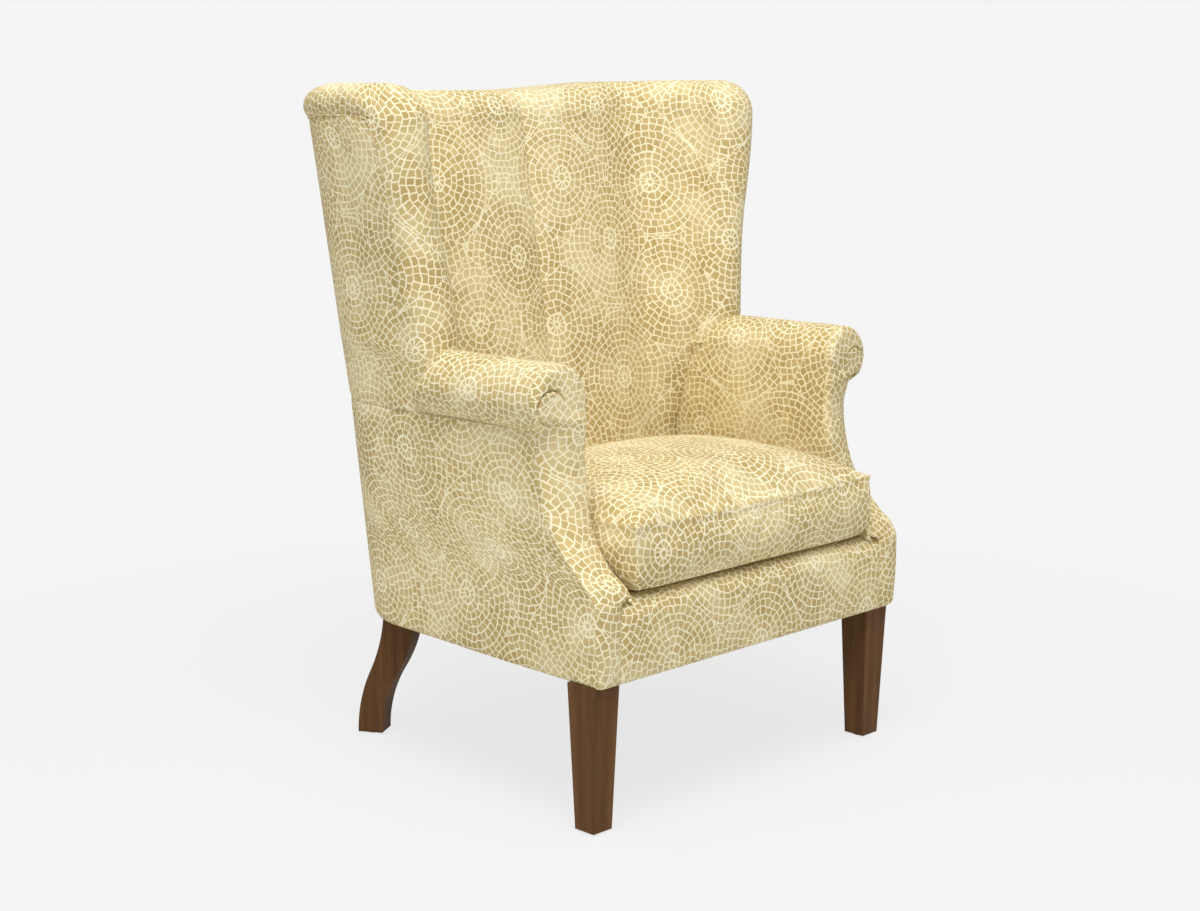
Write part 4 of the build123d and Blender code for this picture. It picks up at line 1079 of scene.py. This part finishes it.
def plain_cloth(name, first, second, threads, strength):
    """Plain woven cloth: two crossing sine waves for the threads, colour mottled between two tones."""
    s = Sketch(name)
    place = s.coordinates("Object")
    thread = s.parts(place)
    across = thread["X"] * threads
    along = (thread["Y"] + thread["Z"]) * threads
    weave = across.only("SINE") * along.only("SINE")
    mottle = s.noise(place, 60.0, 3.0)["Fac"]
    colour = s.colour_mix(mottle * 0.7 + weave * 0.15 + 0.15, first, second)
    return s.finish({"Base Color": colour, "Roughness": 0.85 + mottle * 0.1, "Specular IOR Level": 0.2,
                     "Normal": s.bump(weave, strength, 0.0008)})


def plain_metal(name, colour, rough):
    """Drawn steel: one noise varies its roughness and adds a little tarnish to its colour."""
    s = Sketch(name)
    place = s.coordinates("Object")
    tarnish = s.noise(place, 90.0, 3.0)["Fac"]
    tone = s.colour_mix(tarnish * 0.5, colour, shaded(colour, 0.6))
    return s.finish({"Base Color": tone, "Metallic": 1.0, "Roughness": rough + tarnish * 0.15})


def moulded(name, colour, rough):
    """Moulded plastic: one colour, with a faint grain in the surface."""
    s = Sketch(name)
    place = s.coordinates("Object")
    grain = s.noise(place, 700.0, 2.0)["Fac"]
    tone = s.colour_mix(grain * 0.4, colour, shaded(colour, 1.5))
    return s.finish({"Base Color": tone, "Roughness": rough + grain * 0.1,
                     "Normal": s.bump(grain, 0.1, 0.0003)})


finishes = {
    "leg_wood": wood("leg_wood", paint(88, 60, 33), paint(118, 81, 47)),
    "frame_wood": wood("frame_wood", paint(176, 140, 96), paint(214, 182, 138)),
    "steel": plain_metal("steel", paint(182, 182, 184), 0.32),
    "glide_plastic": moulded("glide_plastic", paint(48, 44, 40), 0.5),
    "dust_cloth": plain_cloth("dust_cloth", paint(24, 24, 26), paint(44, 44, 47), 2600.0, 0.3),
    "lining": plain_cloth("lining", paint(204, 188, 150), paint(222, 208, 174), 4200.0, 0.25),
    "webbing": plain_cloth("webbing", paint(150, 120, 78), paint(186, 156, 108), 1600.0, 0.6),
    "felt": plain_cloth("felt", paint(120, 120, 118), paint(164, 162, 158), 900.0, 0.2),
    "zip_tape": plain_cloth("zip_tape", paint(186, 160, 106), paint(208, 184, 132), 5000.0, 0.3),
}
deck_piece.data.materials.append(finishes["lining"])
slots = {row["node"]: row["material_slot"] for row in frame["record"]["subparts"]}
for name, solid in frame["nodes"].items():
    if slots[name] in finishes:
        solid.data.materials.clear()
        solid.data.materials.append(finishes[slots[name]])
print("finishes:", ", ".join(sorted(finishes)))

# %% [markdown]
# A plain pale studio: one wide soft lamp high on the left front, weak light all round, and a white floor.
# The floor keeps the chair's shadow; only the camera sees it lifted to white.


# %% Studio
def studio_floor(size):
    """A large flat square on which the chair stands."""
    mesh = bpy.data.meshes.new("floor")
    corners = [(-size, -size, 0), (size, -size, 0), (size, size, 0), (-size, size, 0)]
    mesh.from_pydata(corners, [], [(0, 1, 2, 3)])
    floor = bpy.data.objects.new("floor", mesh)
    bpy.context.scene.collection.objects.link(floor)
    return floor


def seen_ray(s):
    """The greatest of three marks: 1 for rays from the camera, off or through a shiny surface, else 0."""
    path = s.node("ShaderNodeLightPath", {}, {})
    return path["Is Camera Ray"].most(path["Is Glossy Ray"]).most(path["Is Transmission Ray"])


backdrop = 0.91
floor = studio_floor(40.0)
white = Sketch("studio_floor")
white.finish({"Base Color": (0.80, 0.80, 0.80, 1.0), "Roughness": 0.9, "Specular IOR Level": 0.0})
floor_at = white.parts(white.coordinates("Object"))
far = (floor_at["X"] * floor_at["X"] + floor_at["Y"] * floor_at["Y"]).step(0.5, 3.2)
fade = white.tree.nodes.new("ShaderNodeMixShader")
white.put(fade.inputs[0], seen_ray(white) * (far * 0.16 + 0.84))
white.tree.links.new(white.surface.outputs[0], fade.inputs[1])
paper = white.node("ShaderNodeEmission", {}, {"Color": (1, 1, 1, 1), "Strength": backdrop})
white.tree.links.new(paper.made.outputs[0], fade.inputs[2])
white.tree.links.new(fade.outputs[0], white.tree.nodes["Material Output"].inputs[0])
floor.data.materials.append(white.material)

world = bpy.data.worlds.new("studio")
world.use_nodes = True
bpy.context.scene.world = world
room = world.node_tree
light_path = room.nodes.new("ShaderNodeLightPath")
soft, seen = room.nodes["Background"], room.nodes.new("ShaderNodeBackground")
for light, strength in ((soft, 0.50), (seen, backdrop)):
    light.inputs["Color"].default_value = (1.0, 1.0, 1.0, 1.0)
    light.inputs["Strength"].default_value = strength
pick = room.nodes.new("ShaderNodeMixShader")
room.links.new(light_path.outputs["Is Camera Ray"], pick.inputs[0])
room.links.new(soft.outputs[0], pick.inputs[1])
room.links.new(seen.outputs[0], pick.inputs[2])
room.links.new(pick.outputs[0], room.nodes["World Output"].inputs[0])


def soft_lamp(name, place, target, size, power):
    """A square lamp aimed at a point."""
    data = bpy.data.lights.new(name, "AREA")
    data.shape, data.size, data.energy = "SQUARE", size, power
    lamp = bpy.data.objects.new(name, data)
    lamp.location = place
    lamp.rotation_euler = (Vector(target) - Vector(place)).to_track_quat("-Z", "Y").to_euler()
    bpy.context.scene.collection.objects.link(lamp)


soft_lamp("key_lamp", (-1.4, -1.25, 4.0), (0.0, 0.0, 0.5), 2.6, 142.0)
bpy.context.scene.view_settings.view_transform = "Standard"
print("studio ready, backdrop at", backdrop)
